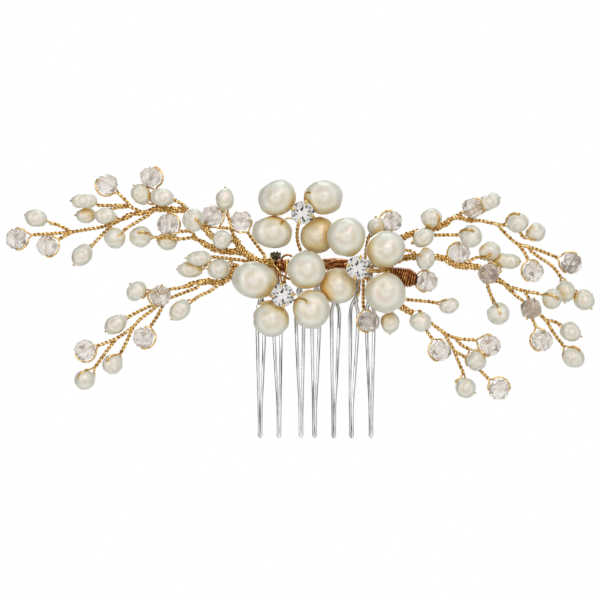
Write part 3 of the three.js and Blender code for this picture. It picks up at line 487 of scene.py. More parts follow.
def finished(body, name):
    """A plain mesh from a bmesh, which is then done with."""
    made = bpy.data.meshes.new(name)
    body.to_mesh(made)
    body.free()
    return made


def placed(name, data):
    """A new object in the scene."""
    made = bpy.data.objects.new(name, data)
    bpy.context.scene.collection.objects.link(made)
    return made


def add_piece(name, mesh, looks, nodes, place=Matrix.Identity(4)):
    """Puts a finished mesh in the scene, riding on the comb, in the stead of its CAD nodes."""
    for look in looks:
        mesh.materials.append(look)
    piece = placed(name, mesh)
    piece.matrix_world = place
    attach(piece, "root")
    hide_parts(*nodes)


def tilted(centre, tilt):
    """A place whose X axis leans from +X towards +Z by the tilt."""
    return Matrix.Translation(centre) @ Matrix.Rotation(-math.radians(tilt), 4, "Y")


# ---- Materials ----

def new_look(name):
    """A new material, its node tree and its shader."""
    made = bpy.data.materials.new(name)
    made.use_nodes = True
    tree = made.node_tree
    return made, tree, tree.nodes["Principled BSDF"]


def put(tree, socket, value):
    """Links the value to the socket if it is another socket, and sets it otherwise."""
    if isinstance(value, bpy.types.NodeSocket):
        tree.links.new(value, socket)
    else:
        socket.default_value = value


def dress(tree, node, **inputs):
    """Sets or links a node's inputs by their names, with underscores for spaces."""
    for key, value in inputs.items():
        put(tree, node.inputs[key.replace("_", " ")], value)


def add_node(tree, kind, settings=None, **inputs):
    """A node with its settings and inputs."""
    made = tree.nodes.new(kind)
    for key, value in (settings or {}).items():
        setattr(made, key, value)
    dress(tree, made, **inputs)
    return made


def own_place(tree):
    """Where a point is in its own piece."""
    return add_node(tree, "ShaderNodeTexCoord").outputs["Object"]


def noise_of(tree, place, size, detail=3.0, roughness=0.5, warp=0.0):
    """Noise from 0 to 1 whose features are about the given size in mm."""
    made = add_node(tree, "ShaderNodeTexNoise", Vector=place, Scale=1 / (size * MM), Detail=detail,
                    Roughness=roughness, Distortion=warp)
    return made.outputs["Fac"]


def ramp(tree, value, stops):
    """Colours for a value from 0 to 1. Each stop is a value and its colour."""
    made = add_node(tree, "ShaderNodeValToRGB", Fac=value)
    band = made.color_ramp
    while len(band.elements) < len(stops):
        band.elements.new(1.0)
    for element, (place, colour) in zip(band.elements, stops):
        element.position = place
        element.color = (*colour, 1.0)
    return made.outputs["Color"]


def mixed(tree, share, a, b, kind="MIX"):
    """Two colours mixed. The share is a number or a socket."""
    made = add_node(tree, "ShaderNodeMix", {"data_type": "RGBA", "blend_type": kind})
    put(tree, made.inputs[0], share)
    for socket, colour in ((made.inputs[6], a), (made.inputs[7], b)):
        put(tree, socket, colour if isinstance(colour, bpy.types.NodeSocket) else (*colour, 1.0))
    return made.outputs[2]


def spread(tree, value, low, high):
    """A value from 0 to 1 spread over another range."""
    made = add_node(tree, "ShaderNodeMapRange", Value=value, To_Min=low, To_Max=high)
    return made.outputs["Result"]


def spread_from(tree, value, low, high):
    """A value in a range, turned into 0 to 1."""
    made = add_node(tree, "ShaderNodeMapRange", Value=value, From_Min=low, From_Max=high)
    return made.outputs["Result"]


def bump(tree, height, depth):
    """Raised and sunk by about the given depth in mm."""
    made = add_node(tree, "ShaderNodeBump", Height=height, Strength=1.0, Distance=depth * MM)
    return made.outputs["Normal"]


def nacre(name, size):
    """Cloudy ivory nacre with rosy and green lustre; faint rings on its broad sides, also painted as light
    and dark highlight rings; and painted shade tinted amber, a painted reflection of the gilt wire, in the
    nooks.
    """
    look, tree, shader = new_look(name)
    place = own_place(tree)
    cloud = noise_of(tree, place, size * 0.45, detail=4)
    ivory = ramp(tree, cloud, [(0.32, (0.60, 0.555, 0.42)), (0.5, (0.655, 0.63, 0.53)),
                               (0.68, (0.73, 0.725, 0.67))])
    lustre = ramp(tree, noise_of(tree, place, size * 0.22, detail=2, warp=0.6),
                  [(0.3, (0.66, 0.74, 0.63)), (0.43, (0.80, 0.67, 0.63)), (0.55, (0.66, 0.74, 0.78)),
                   (0.70, (0.85, 0.76, 0.56))])
    colour = mixed(tree, 0.36, ivory, lustre)
    rings = add_node(tree, "ShaderNodeTexWave", {"wave_type": "RINGS", "rings_direction": "Y"}, Vector=place,
                     Scale=1.25 / (size * MM), Distortion=1.6, Detail=2.0, Detail_Scale=1.2,
                     Phase_Offset=1.2).outputs["Fac"]
    # Painted highlight: the rings lighten the colour towards pale grey on their crests and darken it in their
    # troughs, as a reflected ring of light.
    colour = mixed(tree, spread(tree, rings, 0.0, 0.42), colour, (0.84, 0.85, 0.83))
    colour = mixed(tree, spread(tree, rings, 0.16, 0.0), colour, (0.48, 0.40, 0.33))
    # Painted shade and painted reflection: where other pieces crowd near, the colour is multiplied darker and
    # amber, as the shade in the nooks and the gilt wire's reflected light.
    painted_shade_mask = add_node(tree, "ShaderNodeAmbientOcclusion", {"samples": 8},
                    Distance=size * 0.6 * MM).outputs["AO"]
    gilt = ramp(tree, painted_shade_mask, [(0.2, (1.0, 0.56, 0.12)), (0.48, (1.0, 0.75, 0.32)), (0.72, (1.0, 0.91, 0.69)),
                             (0.92, (1.0, 1.0, 1.0))])
    skin = mixed(tree, 0.3, rings, noise_of(tree, place, size * 0.12, detail=3))
    dress(tree, shader, Base_Color=mixed(tree, 1.0, colour, gilt, "MULTIPLY"), IOR=1.6,
          Roughness=spread(tree, cloud, 0.20, 0.34), Normal=bump(tree, skin, size * 0.012),
          Coat_Weight=0.6, Coat_Roughness=0.08, Thin_Film_Thickness=420, Thin_Film_IOR=1.45,
          Sheen_Weight=0.34, Sheen_Roughness=0.35, Sheen_Tint=(1.0, 0.92, 0.70, 1.0))
    return look


def gilt_wire(name, dark, middle, light, low, high):
    """Plated wire: its tone drifts at random from dark to light in patches."""
    look, tree, shader = new_look(name)
    place = own_place(tree)
    tone = noise_of(tree, place, 0.9, detail=4)
    relief = noise_of(tree, place, 0.3, detail=2)
    dress(tree, shader, Base_Color=ramp(tree, tone, [(0.3, dark), (0.5, middle), (0.7, light)]), Metallic=1.0,
          Roughness=spread(tree, noise_of(tree, place, 0.5), low, high), Normal=bump(tree, relief, 0.02))
    return look


def drawn_steel(name):
    """Bright steel wire, with the fine lengthwise marks that drawing leaves."""
    look, tree, shader = new_look(name)
    place = own_place(tree)
    stretched = add_node(tree, "ShaderNodeMapping", Vector=place, Scale=(1.0, 1.0, 0.04)).outputs["Vector"]
    marks = noise_of(tree, stretched, 0.4, detail=5)
    tarnish = noise_of(tree, place, 5.0, detail=4)
    bright = ramp(tree, tarnish, [(0.35, (0.77, 0.79, 0.83)), (0.6, (0.88, 0.905, 0.95))])
    streaks = ramp(tree, marks, [(0.44, (1.0, 1.0, 1.0)), (0.54, (0.80, 0.80, 0.82)),
                                 (0.64, (0.32, 0.33, 0.35))])
    dress(tree, shader, Base_Color=mixed(tree, 1.0, bright, streaks, "MULTIPLY"), Metallic=1.0,
          Roughness=spread(tree, marks, 0.04, 0.14), Normal=bump(tree, marks, 0.01))
    return look


def cut_glass(name, tint, deep, ior, clear, solid):
    """Cut glass. The tint drifts a little, and handling has left it faintly worn."""
    look, tree, shader = new_look(name)
    place = own_place(tree)
    drift = noise_of(tree, place, 2.6, detail=2)
    wear = noise_of(tree, place, 1.5, detail=2)
    dress(tree, shader, Base_Color=ramp(tree, drift, [(0.35, deep), (0.65, tint)]),
          Roughness=spread(tree, wear, 0.0, 0.08), Transmission_Weight=clear, IOR=ior, Alpha=solid)
    return look


def stone_foil(name, dark, light, metal):
    """One tone of the foiled back of a rhinestone, with a few fine creases. The white and black tones are
    painted reflections.
    """
    look, tree, shader = new_look(name)
    creases = noise_of(tree, own_place(tree), 0.9, detail=5, warp=0.4)
    dress(tree, shader, Base_Color=ramp(tree, creases, [(0.35, dark), (0.6, light)]), Metallic=metal,
          Roughness=spread(tree, creases, 0.05, 0.2))
    return look


PETAL = nacre("petal_nacre", 9.5)
NACRE = nacre("small_pearl_nacre", 5.0)
GILT = gilt_wire("gilt_craft_wire", (0.36, 0.19, 0.045), (0.78, 0.52, 0.19), (1.0, 0.86, 0.54), 0.12, 0.28)
BRIGHT_GILT = gilt_wire("bright_gilt", (0.66, 0.42, 0.12), (0.84, 0.60, 0.22), (0.95, 0.76, 0.38), 0.14, 0.28)
COPPER = gilt_wire("copper_binding_wire", (0.16, 0.05, 0.014), (0.50, 0.20, 0.065), (0.93, 0.56, 0.27),
                   0.14, 0.3)
# Painted shade: near-black copper for the coil cores, seen in the grooves between the turns.
COPPER_PAINTED_SHADE = gilt_wire("copper_painted_groove_shade", (0.05, 0.016, 0.006), (0.12, 0.045, 0.015), (0.22, 0.09, 0.035),
                        0.4, 0.6)
TARNISHED = gilt_wire("tarnished_wire", (0.035, 0.03, 0.022), (0.16, 0.13, 0.09), (0.42, 0.36, 0.26),
                      0.2, 0.4)
STEEL = drawn_steel("drawn_steel_wire")
ROSE_GLASS = cut_glass("rose_crystal", (0.97, 0.93, 0.90), (0.92, 0.86, 0.83), 1.5, 0.72, 0.72)
# Painted dark reflection: the dim glass that some crystal facets wear to show the dark reflections of cut
# glass.
GLASS_PAINTED_DARK = cut_glass("rose_crystal_painted_dark_reflection", (0.56, 0.49, 0.43), (0.26, 0.22, 0.19), 1.6, 0.35, 0.9)
CLEAR_GLASS = cut_glass("rhinestone_glass", (0.99, 0.99, 1.0), (0.97, 0.975, 0.99), 1.55, 1.0, 0.4)
# Painted reflections: white foil for the rhinestones' bright facets, and black foil further down for their
# dark ones.
FOIL_PAINTED_BRIGHT = stone_foil("rhinestone_foil_painted_bright", (0.86, 0.87, 0.89), (0.97, 0.97, 0.98), 0.0)
MIRROR_FOIL = stone_foil("rhinestone_mirror_foil", (0.80, 0.81, 0.84), (0.95, 0.95, 0.97), 1.0)
# Painted dark reflection: black foil.
FOIL_PAINTED_BLACK = stone_foil("rhinestone_foil_painted_dark", (0.02, 0.02, 0.025), (0.12, 0.12, 0.14), 1.0)


# ---- Pearls and crystals ----

def unit_ball(around):
    """A ball of radius 1 whose poles are on the X axis."""
    x, y, z = Matrix.Identity(3)
    tiers = around * 2 // 3
    ball = Shape()
    start = ball.ring(-x, y, z, 0, 1)[0]
    rings = []
    for i in range(1, tiers):
        turn = math.pi * i / tiers
        rings.append(ball.ring(-x * math.cos(turn), y, z, math.sin(turn), around))
    end = ball.ring(x, y, z, 0, 1)[0]
    for a, b in zip(rings, rings[1:]):
        ball.bridge(a, b, 0)
    for i in range(around):
        j = (i + 1) % around
        ball.face((start, rings[0][j], rings[0][i]), 0)
        ball.face((end, rings[-1][i], rings[-1][j]), 0)
    return ball


def pearl_mesh(name, dims, seed, around, lumps, waist=0.0):
    """A drilled pearl, its hole along X: a slightly uneven egg with a dimple at each end of the hole."""
    pearl = unit_ball(around)
    shift = Vector([seed * factor for factor in PEARL["shift"]])
    egg = PEARL["egg"] * math.sin(seed * PEARL["egg_wave"])
    for number, way in enumerate(pearl.points):
        broad = noise.noise(way * PEARL["broad"] + shift)
        fine = noise.noise(way * PEARL["fine"] + shift)
        grown = 1 + egg * way.x + lumps * broad + lumps * PEARL["fine_share"] * fine
        grown += waist * (0.5 - math.exp(-((way.x / PEARL["waist_width"]) ** 2)))
        grown -= PEARL["dimple"] * math.exp(-(1 - abs(way.x)) / PEARL["dimple_width"])
        pearl.points[number] = Vector([way[axis] * dims[axis] for axis in range(3)]) * (grown * MM / 2)
    return pearl.mesh(name)


def hull(points):
    """The faceted solid that wraps the points, its flat facets whole."""
    body = bmesh.new()
    for point in points:
        body.verts.new(point)
    wrap = bmesh.ops.convex_hull(body, input=body.verts)
    bmesh.ops.delete(body, geom=wrap["geom_interior"], context="VERTS")
    bmesh.ops.dissolve_limit(body, angle_limit=math.radians(FLAT), verts=body.verts, edges=body.edges)
    bmesh.ops.recalc_face_normals(body, faces=body.faces)
    return body


def circle(radius, height, count, phase):
    """Points round the X axis."""
    turns = [2 * math.pi * (i + phase) / count for i in range(count)]
    return [Vector((height, radius * math.cos(t), radius * math.sin(t))) * MM for t in turns]


def crystal_mesh(name, spin, every):
    """A bicone bead, drilled along X, with two tiers of facets on each cone. Some facets are painted dark as
    dark reflections.
    """
    size = CRYSTAL
    count = size["facets"]
    points = []
    for side in (-1, 1):
        points += circle(size["end"], side * size["half"], count, 0)
        points += circle(size["bulge"] * size["girdle"], side * size["middle"] * size["half"], count, 0.5)
        points += circle(size["girdle"], side * size["band"], count, 0)
    body = hull(points)
    for facet in body.faces:
        middle = facet.calc_center_median()
        turn = int(math.degrees(math.atan2(middle.z, middle.y)) % 360 / size["sector"])
        tier = round(middle.x / MM)
        # Facets given look 1 wear the painted dark reflection.
        facet.material_index = 1 if (turn * 5 + tier * 3 + spin) % every == 0 else 0
    reach = size["half"] * MM * 0.99
    ends = [f for f in body.faces if abs(f.calc_center_median().x) > reach]
    for end in ends:
        bmesh.ops.inset_region(body, faces=[end], thickness=(size["end"] - size["hole"]) * MM)
    edges = [edge for end in ends for edge in end.edges]
    bmesh.ops.delete(body, geom=ends, context="FACES_ONLY")
    bmesh.ops.bridge_loops(body, edges=edges)
    bmesh.ops.recalc_face_normals(body, faces=body.faces)
    return finished(body, name)


class Bead:
    """A bead on a sprig: where it is, with the hole along its own X, and its half sizes in that frame."""

    def __init__(self, place, halves, pointed):
        self.place = place
        self.centre = place.translation.copy()
        self.turn = place.to_3x3()
        self.halves = Vector(halves) * MM
        self.pointed = pointed

    def holds(self, point, margin):
        """Whether a point is inside the bead or within the margin of it."""
        local = self.turn.transposed() @ (point - self.centre)
        return sum((local[i] / (self.halves[i] + margin)) ** 2 for i in range(3)) < 1

    def on_skin(self, unit, lift):
        """A point over the bead: unit is a direction on the bead seen as a ball, lift the height over it."""
        local = Vector([unit[i] * self.halves[i] for i in range(3)])
        normal = Vector([unit[i] / self.halves[i] for i in range(3)]).normalized()
        return self.centre + self.turn @ (local + normal * lift)

    def as_ball(self, point):
        """The direction of a point, on the bead seen as a ball."""
        local = self.turn.transposed() @ (point - self.centre)
        return Vector([local[i] / self.halves[i] for i in range(3)]).normalized()


def bead_leg(bead, start, end_sign):
    """One wire from the fork round the bead into one end of its hole."""
    mouth = Vector((end_sign, 0, 0))
    wire = STRAND * MM
    inside = bead.centre + bead.turn @ Vector((end_sign * bead.halves.x * LEG["inside"], 0, 0))
    outside = bead.on_skin(mouth, wire * LEG["mouth_lift"])
    first = bead.as_ball(start)
    stops = [first, mouth]
    faces_out = (bead.turn @ mouth).y < LEG["facing"]
    if first.angle(mouth) > math.radians(LEG["far"]) and not faces_out:
        behind = bead.turn.transposed() @ Vector((0, 1, 0))
        beside = Vector((0, LEG["forward"], 1 if first.z >= 0 else -1))
        side = beside if bead.pointed else behind
        stops.insert(1, (first * LEG["pull"] + mouth * LEG["pull"] + side).normalized())
    lift = wire * LEG["crystal_lift" if bead.pointed else "lift"]
    points = [start]
    for a, b in zip(stops, stops[1:]):
        spin = a.rotation_difference(b)
        count = max(2, math.ceil(math.degrees(a.angle(b)) / LEG["step"]))
        for i in range(1, count + 1):
            turned = Quaternion().slerp(spin, i / count) @ a
            if turned.angle(mouth) > math.radians(LEG["near"]):
                points.append(bead.on_skin(turned, lift))
    return [*points, outside, inside]


# ---- Sprays ----

def pearl_place(centre, tilt, hole, length, width):
    """Where a pearl sits with its hole along X, and its half sizes in that frame.

    The hole holds the place where it shows, or is empty when the pearl is drilled along its length."""
    if not hole:
        return tilted(centre, tilt), (length / 2, width / 2, width / 2)
    right, above = hole[0]
    half = width / 2
    front = math.sqrt(max(0.0, half * half - right * right - above * above))
    towards = Vector((right, -front, above)).normalized()
    long_way = Vector((math.cos(math.radians(tilt)), 0, math.sin(math.radians(tilt))))
    up = (long_way - towards * long_way.dot(towards)).normalized()
    turn = Matrix((towards, up.cross(towards), up)).transposed()
    return Matrix.Translation(centre) @ turn.to_4x4(), (half, half, length / 2)


def sprig_beads(sprig):
    """The beads of a sprig, pearls first."""
    beads = []
    for x, y, z, length, width, tilt, *hole in sprig.get("pearls", []):
        place, halves = pearl_place(at((x, y, z)), tilt, hole, length, width)
        beads.append(Bead(place, halves, False))
    halves = (CRYSTAL["half"], CRYSTAL["girdle"], CRYSTAL["girdle"])
    for x, y, z, tilt in sprig.get("crystals", []):
        beads.append(Bead(tilted(at((x, y, z)), tilt), halves, True))
    return beads


def twisted_pair(shape, path, phase):
    """Two wires twisted round each other. Returns their points at the start, and their points at the end."""
    radii = [STRAND * MM] * len(path)
    strands = [wound(path, radii, TWIST["pitch"] * MM, phase + turn) for turn in (0, math.pi)]
    for strand in strands:
        shape.tube(strand, STRAND * MM)
    return [strand[0] for strand in strands], [strand[-1] for strand in strands]


def trimmed(path, bead):
    """The path up to the fork in front of the bead, which is at the path's end."""
    kept = list(path)
    while len(kept) > 3 and bead.holds(kept[-1], FORK * MM):
        kept.pop()
    return kept


def nearest_bead(beads, point):
    """The bead that a wire's end lies in, if there is one."""
    close = [bead for bead in beads if (bead.centre - point).length < END_IN_BEAD * MM]
    return min(close, key=lambda bead: (bead.centre - point).length) if close else None


def add_legs(shape, bead, starts):
    """Leads the two wires from the fork into the two ends of the bead's hole."""
    hole = bead.turn @ Vector((1, 0, 0))
    first, second = starts
    if (first - second).dot(hole) < 0:
        first, second = second, first
    for start, sign in ((first, 1), (second, -1)):
        shape.wire(bead_leg(bead, start, sign), STRAND * MM, "leg")


def add_wires(shape, routes, beads):
    """Every twisted pair of a sprig up to the fork, with the legs of the beads."""
    served = set()
    for number, route in enumerate(routes):
        ends = [nearest_bead(beads, route[0]), nearest_bead(beads, route[-1])]
        ends = [None if end is None or id(end) in served else end for end in ends]
        path = list(route)
        if ends[1]:
            path = trimmed(path, ends[1])
        if ends[0]:
            path = trimmed(path[::-1], ends[0])[::-1]
        for bead, tips in zip(ends, twisted_pair(shape, path, number * TWIST["wire_phase"])):
            if bead:
                add_legs(shape, bead, tips)
                served.add(id(bead))
    for bead in beads:
        if id(bead) not in served:
            nearest = min((p for route in routes for p in route), key=lambda p: (p - bead.centre).length)
            fork = bead.on_skin(bead.as_ball(nearest), STRAND * MM)
            add_legs(shape, bead, [fork, fork])


def least_x(path):
    """How near a path comes to the middle of the rail, along X."""
    return min(abs(point.x) for point in path)


def led_along(end, hosts):
    """Points that lead a free end along the nearest of the hosts towards the rail, if one is within reach."""
    places = [(host, i) for host in hosts for i in range(len(host))]
    host, place = min(places, key=lambda spot: (spot[0][spot[1]] - end).length)
    if (host[place] - end).length >= JOIN["reach"] * MM:
        return []
    rootward = 1 if abs(host[-1].x) < abs(host[0].x) else -1
    step = (host[1] - host[0]).length
    guide = [end]
    for reach in JOIN["along"]:
        stop = place + rootward * round(reach * MM / step)
        point = host[min(max(stop, 0), len(host) - 1)]
        if (point - guide[-1]).length > JOIN["apart"] * MM:
            guide.append(point)
    return curve_through(guide, step)[1:] if len(guide) > 1 else []


def joined_up(path, beads, trunk, own, others):
    """The path with any end that nothing of its own sprig holds led along another sprig's wire."""
    held = [bead.centre for bead in beads] + (trunk or [])
    for _ in range(2):
        end = path[-1]
        rootward = [wire for wire in own if least_x(wire) < abs(end.x) - JOIN["own_nearer"] * MM]
        hosts = [other for other in others if least_x(other) < abs(end.x) - JOIN["nearer"] * MM]
        holders = held + [point for wire in rootward for point in wire]
        if hosts and all((point - end).length > JOIN["held"] * MM for point in holders):
            path = path + led_along(end, hosts)
        path = path[::-1]
    return path


def bundle_radius(reach, total):
    """How far the pairs stand from the trunk's middle at a place along it, as they leave one by one."""
    count = sum(1 for share in PAIR_SHARES if reach <= share * total)
    return TRUNK["radius"][max(count, 1)] * MM


def add_trunk(shape, path):
    """A bundle of twisted pairs that thins towards its end."""
    total = len(path) - 1
    soft = round(TRUNK["blend"] * MM / TWIST_STEP)
    raw = [bundle_radius(i, total) for i in range(len(path))]
    radii = []
    for i in range(len(raw)):
        window = raw[max(0, i - soft): i + soft + 1]
        radii.append(sum(window) / len(window))
    for number, share in enumerate(PAIR_SHARES):
        stop = max(4, round(share * total)) + 1
        phase = number * 2 * math.pi / len(PAIR_SHARES)
        pair = wound(path[:stop], radii[:stop], TRUNK["pitch"] * MM, phase)
        twisted_pair(shape, pair, number * TWIST["trunk_phase"])


def sprig_routes(sprig):
    """The smooth routes of a sprig's trunk, if it has one, and of its wires."""
    trunk = curve_through([at(p) for p in sprig["trunk"]], TWIST_STEP) if "trunk" in sprig else None
    return trunk, [curve_through([at(p) for p in wire], TWIST_STEP) for wire in sprig["wires"]]


def add_sprig(name, routes, seed):
    """A sprig: its wires as one piece, and each bead as its own."""
    beads = sprig_beads(SPRIGS[name])
    trunk, wires = routes[name]
    others = []
    for other, (other_trunk, other_wires) in routes.items():
        if other != name:
            others += [path for path in (other_trunk, *other_wires) if path]
    shape = Shape()
    if trunk:
        add_trunk(shape, trunk)
    own = [[wire for wire in wires if wire is not path] for path in wires]
    add_wires(shape, [joined_up(wire, beads, trunk, rest, others) for wire, rest in zip(wires, own)], beads)
    add_piece(f"{name}_wire", shape.mesh(f"{name}_wire"), [GILT], [name])
    pearls = len(SPRIGS[name].get("pearls", []))
    for i, bead in enumerate(beads):
        if bead.pointed:
            number = i - pearls + 1
            title = f"{name}_crystal_{number}"
            spin = Matrix.Rotation(CRYSTAL["spin"] * (seed + i), 4, "X")
            mesh = crystal_mesh(title, i, FACETS_PAINTED_DARK["fiery" if (name, number) in FIERY else "plain"])
            add_piece(title, mesh, [ROSE_GLASS, GLASS_PAINTED_DARK], [name], bead.place @ spin)
        else:
            title = f"{name}_pearl_{i + 1}"
            size = SMALL_PEARL
            waist = size["waist"] if (name, i + 1) in PEANUTS else 0.0
            own_seed = seed + i * SEEDS["bead"]
            mesh = pearl_mesh(title, bead.halves * 2 / MM, own_seed, size["around"], size["lumps"], waist)
            add_piece(title, mesh, [NACRE], [name], bead.place)


# ---- Flowers ----

def add_petal(name, length, width, thickness, tilt, seed):
    """A large pearl, drilled along its length, in the middle of its CAD node."""
    low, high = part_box(name)
    mesh = pearl_mesh(name, (length, thickness, width), seed, BIG_PEARL["around"], BIG_PEARL["lumps"])
    add_piece(f"{name}_pearl", mesh, [PETAL], [name], tilted((low + high) / 2, tilt))


def stone_mesh(name):
    """A round brilliant, its table towards +Z. The facets behind the girdle carry foil of three tones: white
    and black painted as bright and dark reflections, and mirror foil.
    """
    size = STONE
    girdle = size["girdle"]
    edge = size["band"] / 2
    out, high = size["shoulder"]
    rings = [(size["table"], size["crown"], 8, 0), (girdle * out, size["crown"] * high, 8, 0.5),
             (girdle, edge, 16, 0), (girdle, -edge, 16, 0)]
    rings += [(girdle * out, -size["pavilion"] * deep, count, phase) for out, deep, count, phase in PAVILION]
    rings.append((size["culet"], -size["pavilion"], 8, 0.5))
    points = []
    for radius, height, count, phase in rings:
        points += [Vector((p.y, p.z, p.x)) for p in circle(radius, height, count, phase)]
    body = hull(points)
    for facet in body.faces:
        middle = facet.calc_center_median()
        if middle.z < -size["band"] * MM * 0.6:
            turn = int(math.degrees(math.atan2(middle.y, middle.x)) % 360 / size["sector"])
            reach = int(middle.xy.length / (girdle * MM) * size["bands"])
            # Each pavilion facet takes a foil look by turns; the white and black looks are painted
            # reflections.
            facet.material_index = FOILS[(turn * 5 + reach * 7) % len(FOILS)]
    return finished(body, name)


def setting_shape(turn):
    """A cup that is open in the middle, with its claws bent over the stone, facing +Z."""
    rim, top, back, wall, depth = (SETTING[key] * MM for key in ("rim", "top", "back", "wall", "depth"))
    step, sides = FINE["claw"]
    shape = Shape()
    shape.lathe([(rim, top), (rim - wall, top), (back - wall, -depth), (back, -depth)], SETTING["sides"])
    for i in range(SETTING["claws"]):
        angle = math.radians(turn) + 2 * math.pi * i / SETTING["claws"]
        out = Vector((math.cos(angle), math.sin(angle), 0))
        stops = [out * (rim + beside * MM) + Vector((0, 0, height * MM)) for beside, height in CLAW]
        path = curve_through(stops, step * MM)
        last = len(path) - 1
        swell = [(CLAW_WIRE["root"] + CLAW_WIRE["swell"] * place / last) * MM for place in range(len(path))]
        shape.tube(path, swell, sides)
    return shape


def add_flower_heart(letter, turn, stem):
    """A rhinestone, the claw setting round it, and the stem behind them."""
    name = f"rhinestone_{letter}"
    setting = f"claw_setting_{letter}"
    low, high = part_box(name)
    middle = (low + high) / 2
    middle.y = high.y - STONE["pavilion"] * MM
    facing = Matrix.Translation(middle) @ Matrix.Rotation(math.pi / 2, 4, "X")
    looks = [CLEAR_GLASS, FOIL_PAINTED_BRIGHT, MIRROR_FOIL, FOIL_PAINTED_BLACK]
    add_piece(f"{name}_cut", stone_mesh(name), looks, [name], facing)
    cup = setting_shape(turn).mesh(setting)
    add_piece(f"{setting}_cup", cup, [BRIGHT_GILT], [setting], facing)
    shape = Shape()
    back = middle + Vector((0, SETTING["depth"] * MM, 0))
    path = curve_through([back, *[at(p) for p in stem]], TWIST_STEP)
    twisted_pair(shape, path, TWIST["stem_phase"])
    add_piece(f"{setting}_stem", shape.mesh(setting), [GILT], [setting])


# ---- Comb ----

def tooth_half(side, tip_x, wide_x, rail_x):
    """One wire of a hairpin from its tip up the leg, round its partner and once round the rail."""
    points = [at((tip_x + (wide_x - tip_x) * share + side * out, 0, z)) for share, out, z in TOOTH_LEG]
    twist = TOOTH_TWIST
    meet_x = wide_x + (rail_x - wide_x) * twist["lean"]
    for i in range(1, twist["stops"] + 1):
        share = i / twist["stops"]
        angle = share * twist["turns"] * 2 * math.pi
        x = meet_x + (rail_x - meet_x) * share
        y = side * twist["radius"] * math.sin(angle)
        z = twist["low"] + (twist["high"] - twist["low"]) * share
        points.append(at((x + side * twist["radius"] * math.cos(angle), y, z)))
    loop = TOOTH_LOOP
    for i in range(loop["stops"]):
        angle = math.radians(loop["start"] + loop["step"] * i)
        y = loop["radius"] * math.cos(angle)
        z = loop["radius"] * math.sin(angle)
        points.append(at((rail_x + side * (loop["beside"] + loop["drift"] * i), y, z)))
    return points


def tooth_radius(z):
    """The radius of a tooth's wire, which looks thinner towards its tip."""
    share = min(1.0, max(0.0, (z / MM + TOOTH_WIRE["low"]) / TOOTH_WIRE["over"]))
    return (TOOTH_WIRE["tip"] + TOOTH_WIRE["swell"] * share) * MM


def add_tooth(number, tip_x, wide_x, rail_x):
    """A hairpin tooth of two wires."""
    name = f"comb_tooth_{number}"
    step, sides = FINE["tooth"]
    shape = Shape()
    for side in (-1, 1):
        path = curve_through(tooth_half(side, tip_x, wide_x, rail_x), step * MM)
        shape.tube(path, [tooth_radius(p.z) for p in path], sides)
    add_piece(f"{name}_hairpin", shape.mesh(name), [STEEL], [name])


def add_rail():
    """The rail, a little shorter than its CAD node, since its ends are rounded."""
    low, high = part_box("comb_rail")
    middle = (low + high) / 2
    left = Vector((low.x + RAIL["short"] * MM, middle.y, middle.z))
    right = Vector((high.x - RAIL["short"] * MM, middle.y, middle.z))
    bowed = middle + Vector((0, 0, RAIL["bow"] * MM))
    shape = Shape()
    shape.wire([left, bowed, right], (high.z - low.z) / 2, "rail")
    add_piece("comb_rail_rod", shape.mesh("comb_rail"), [STEEL], ["comb_rail"])


# ---- Lashings ----

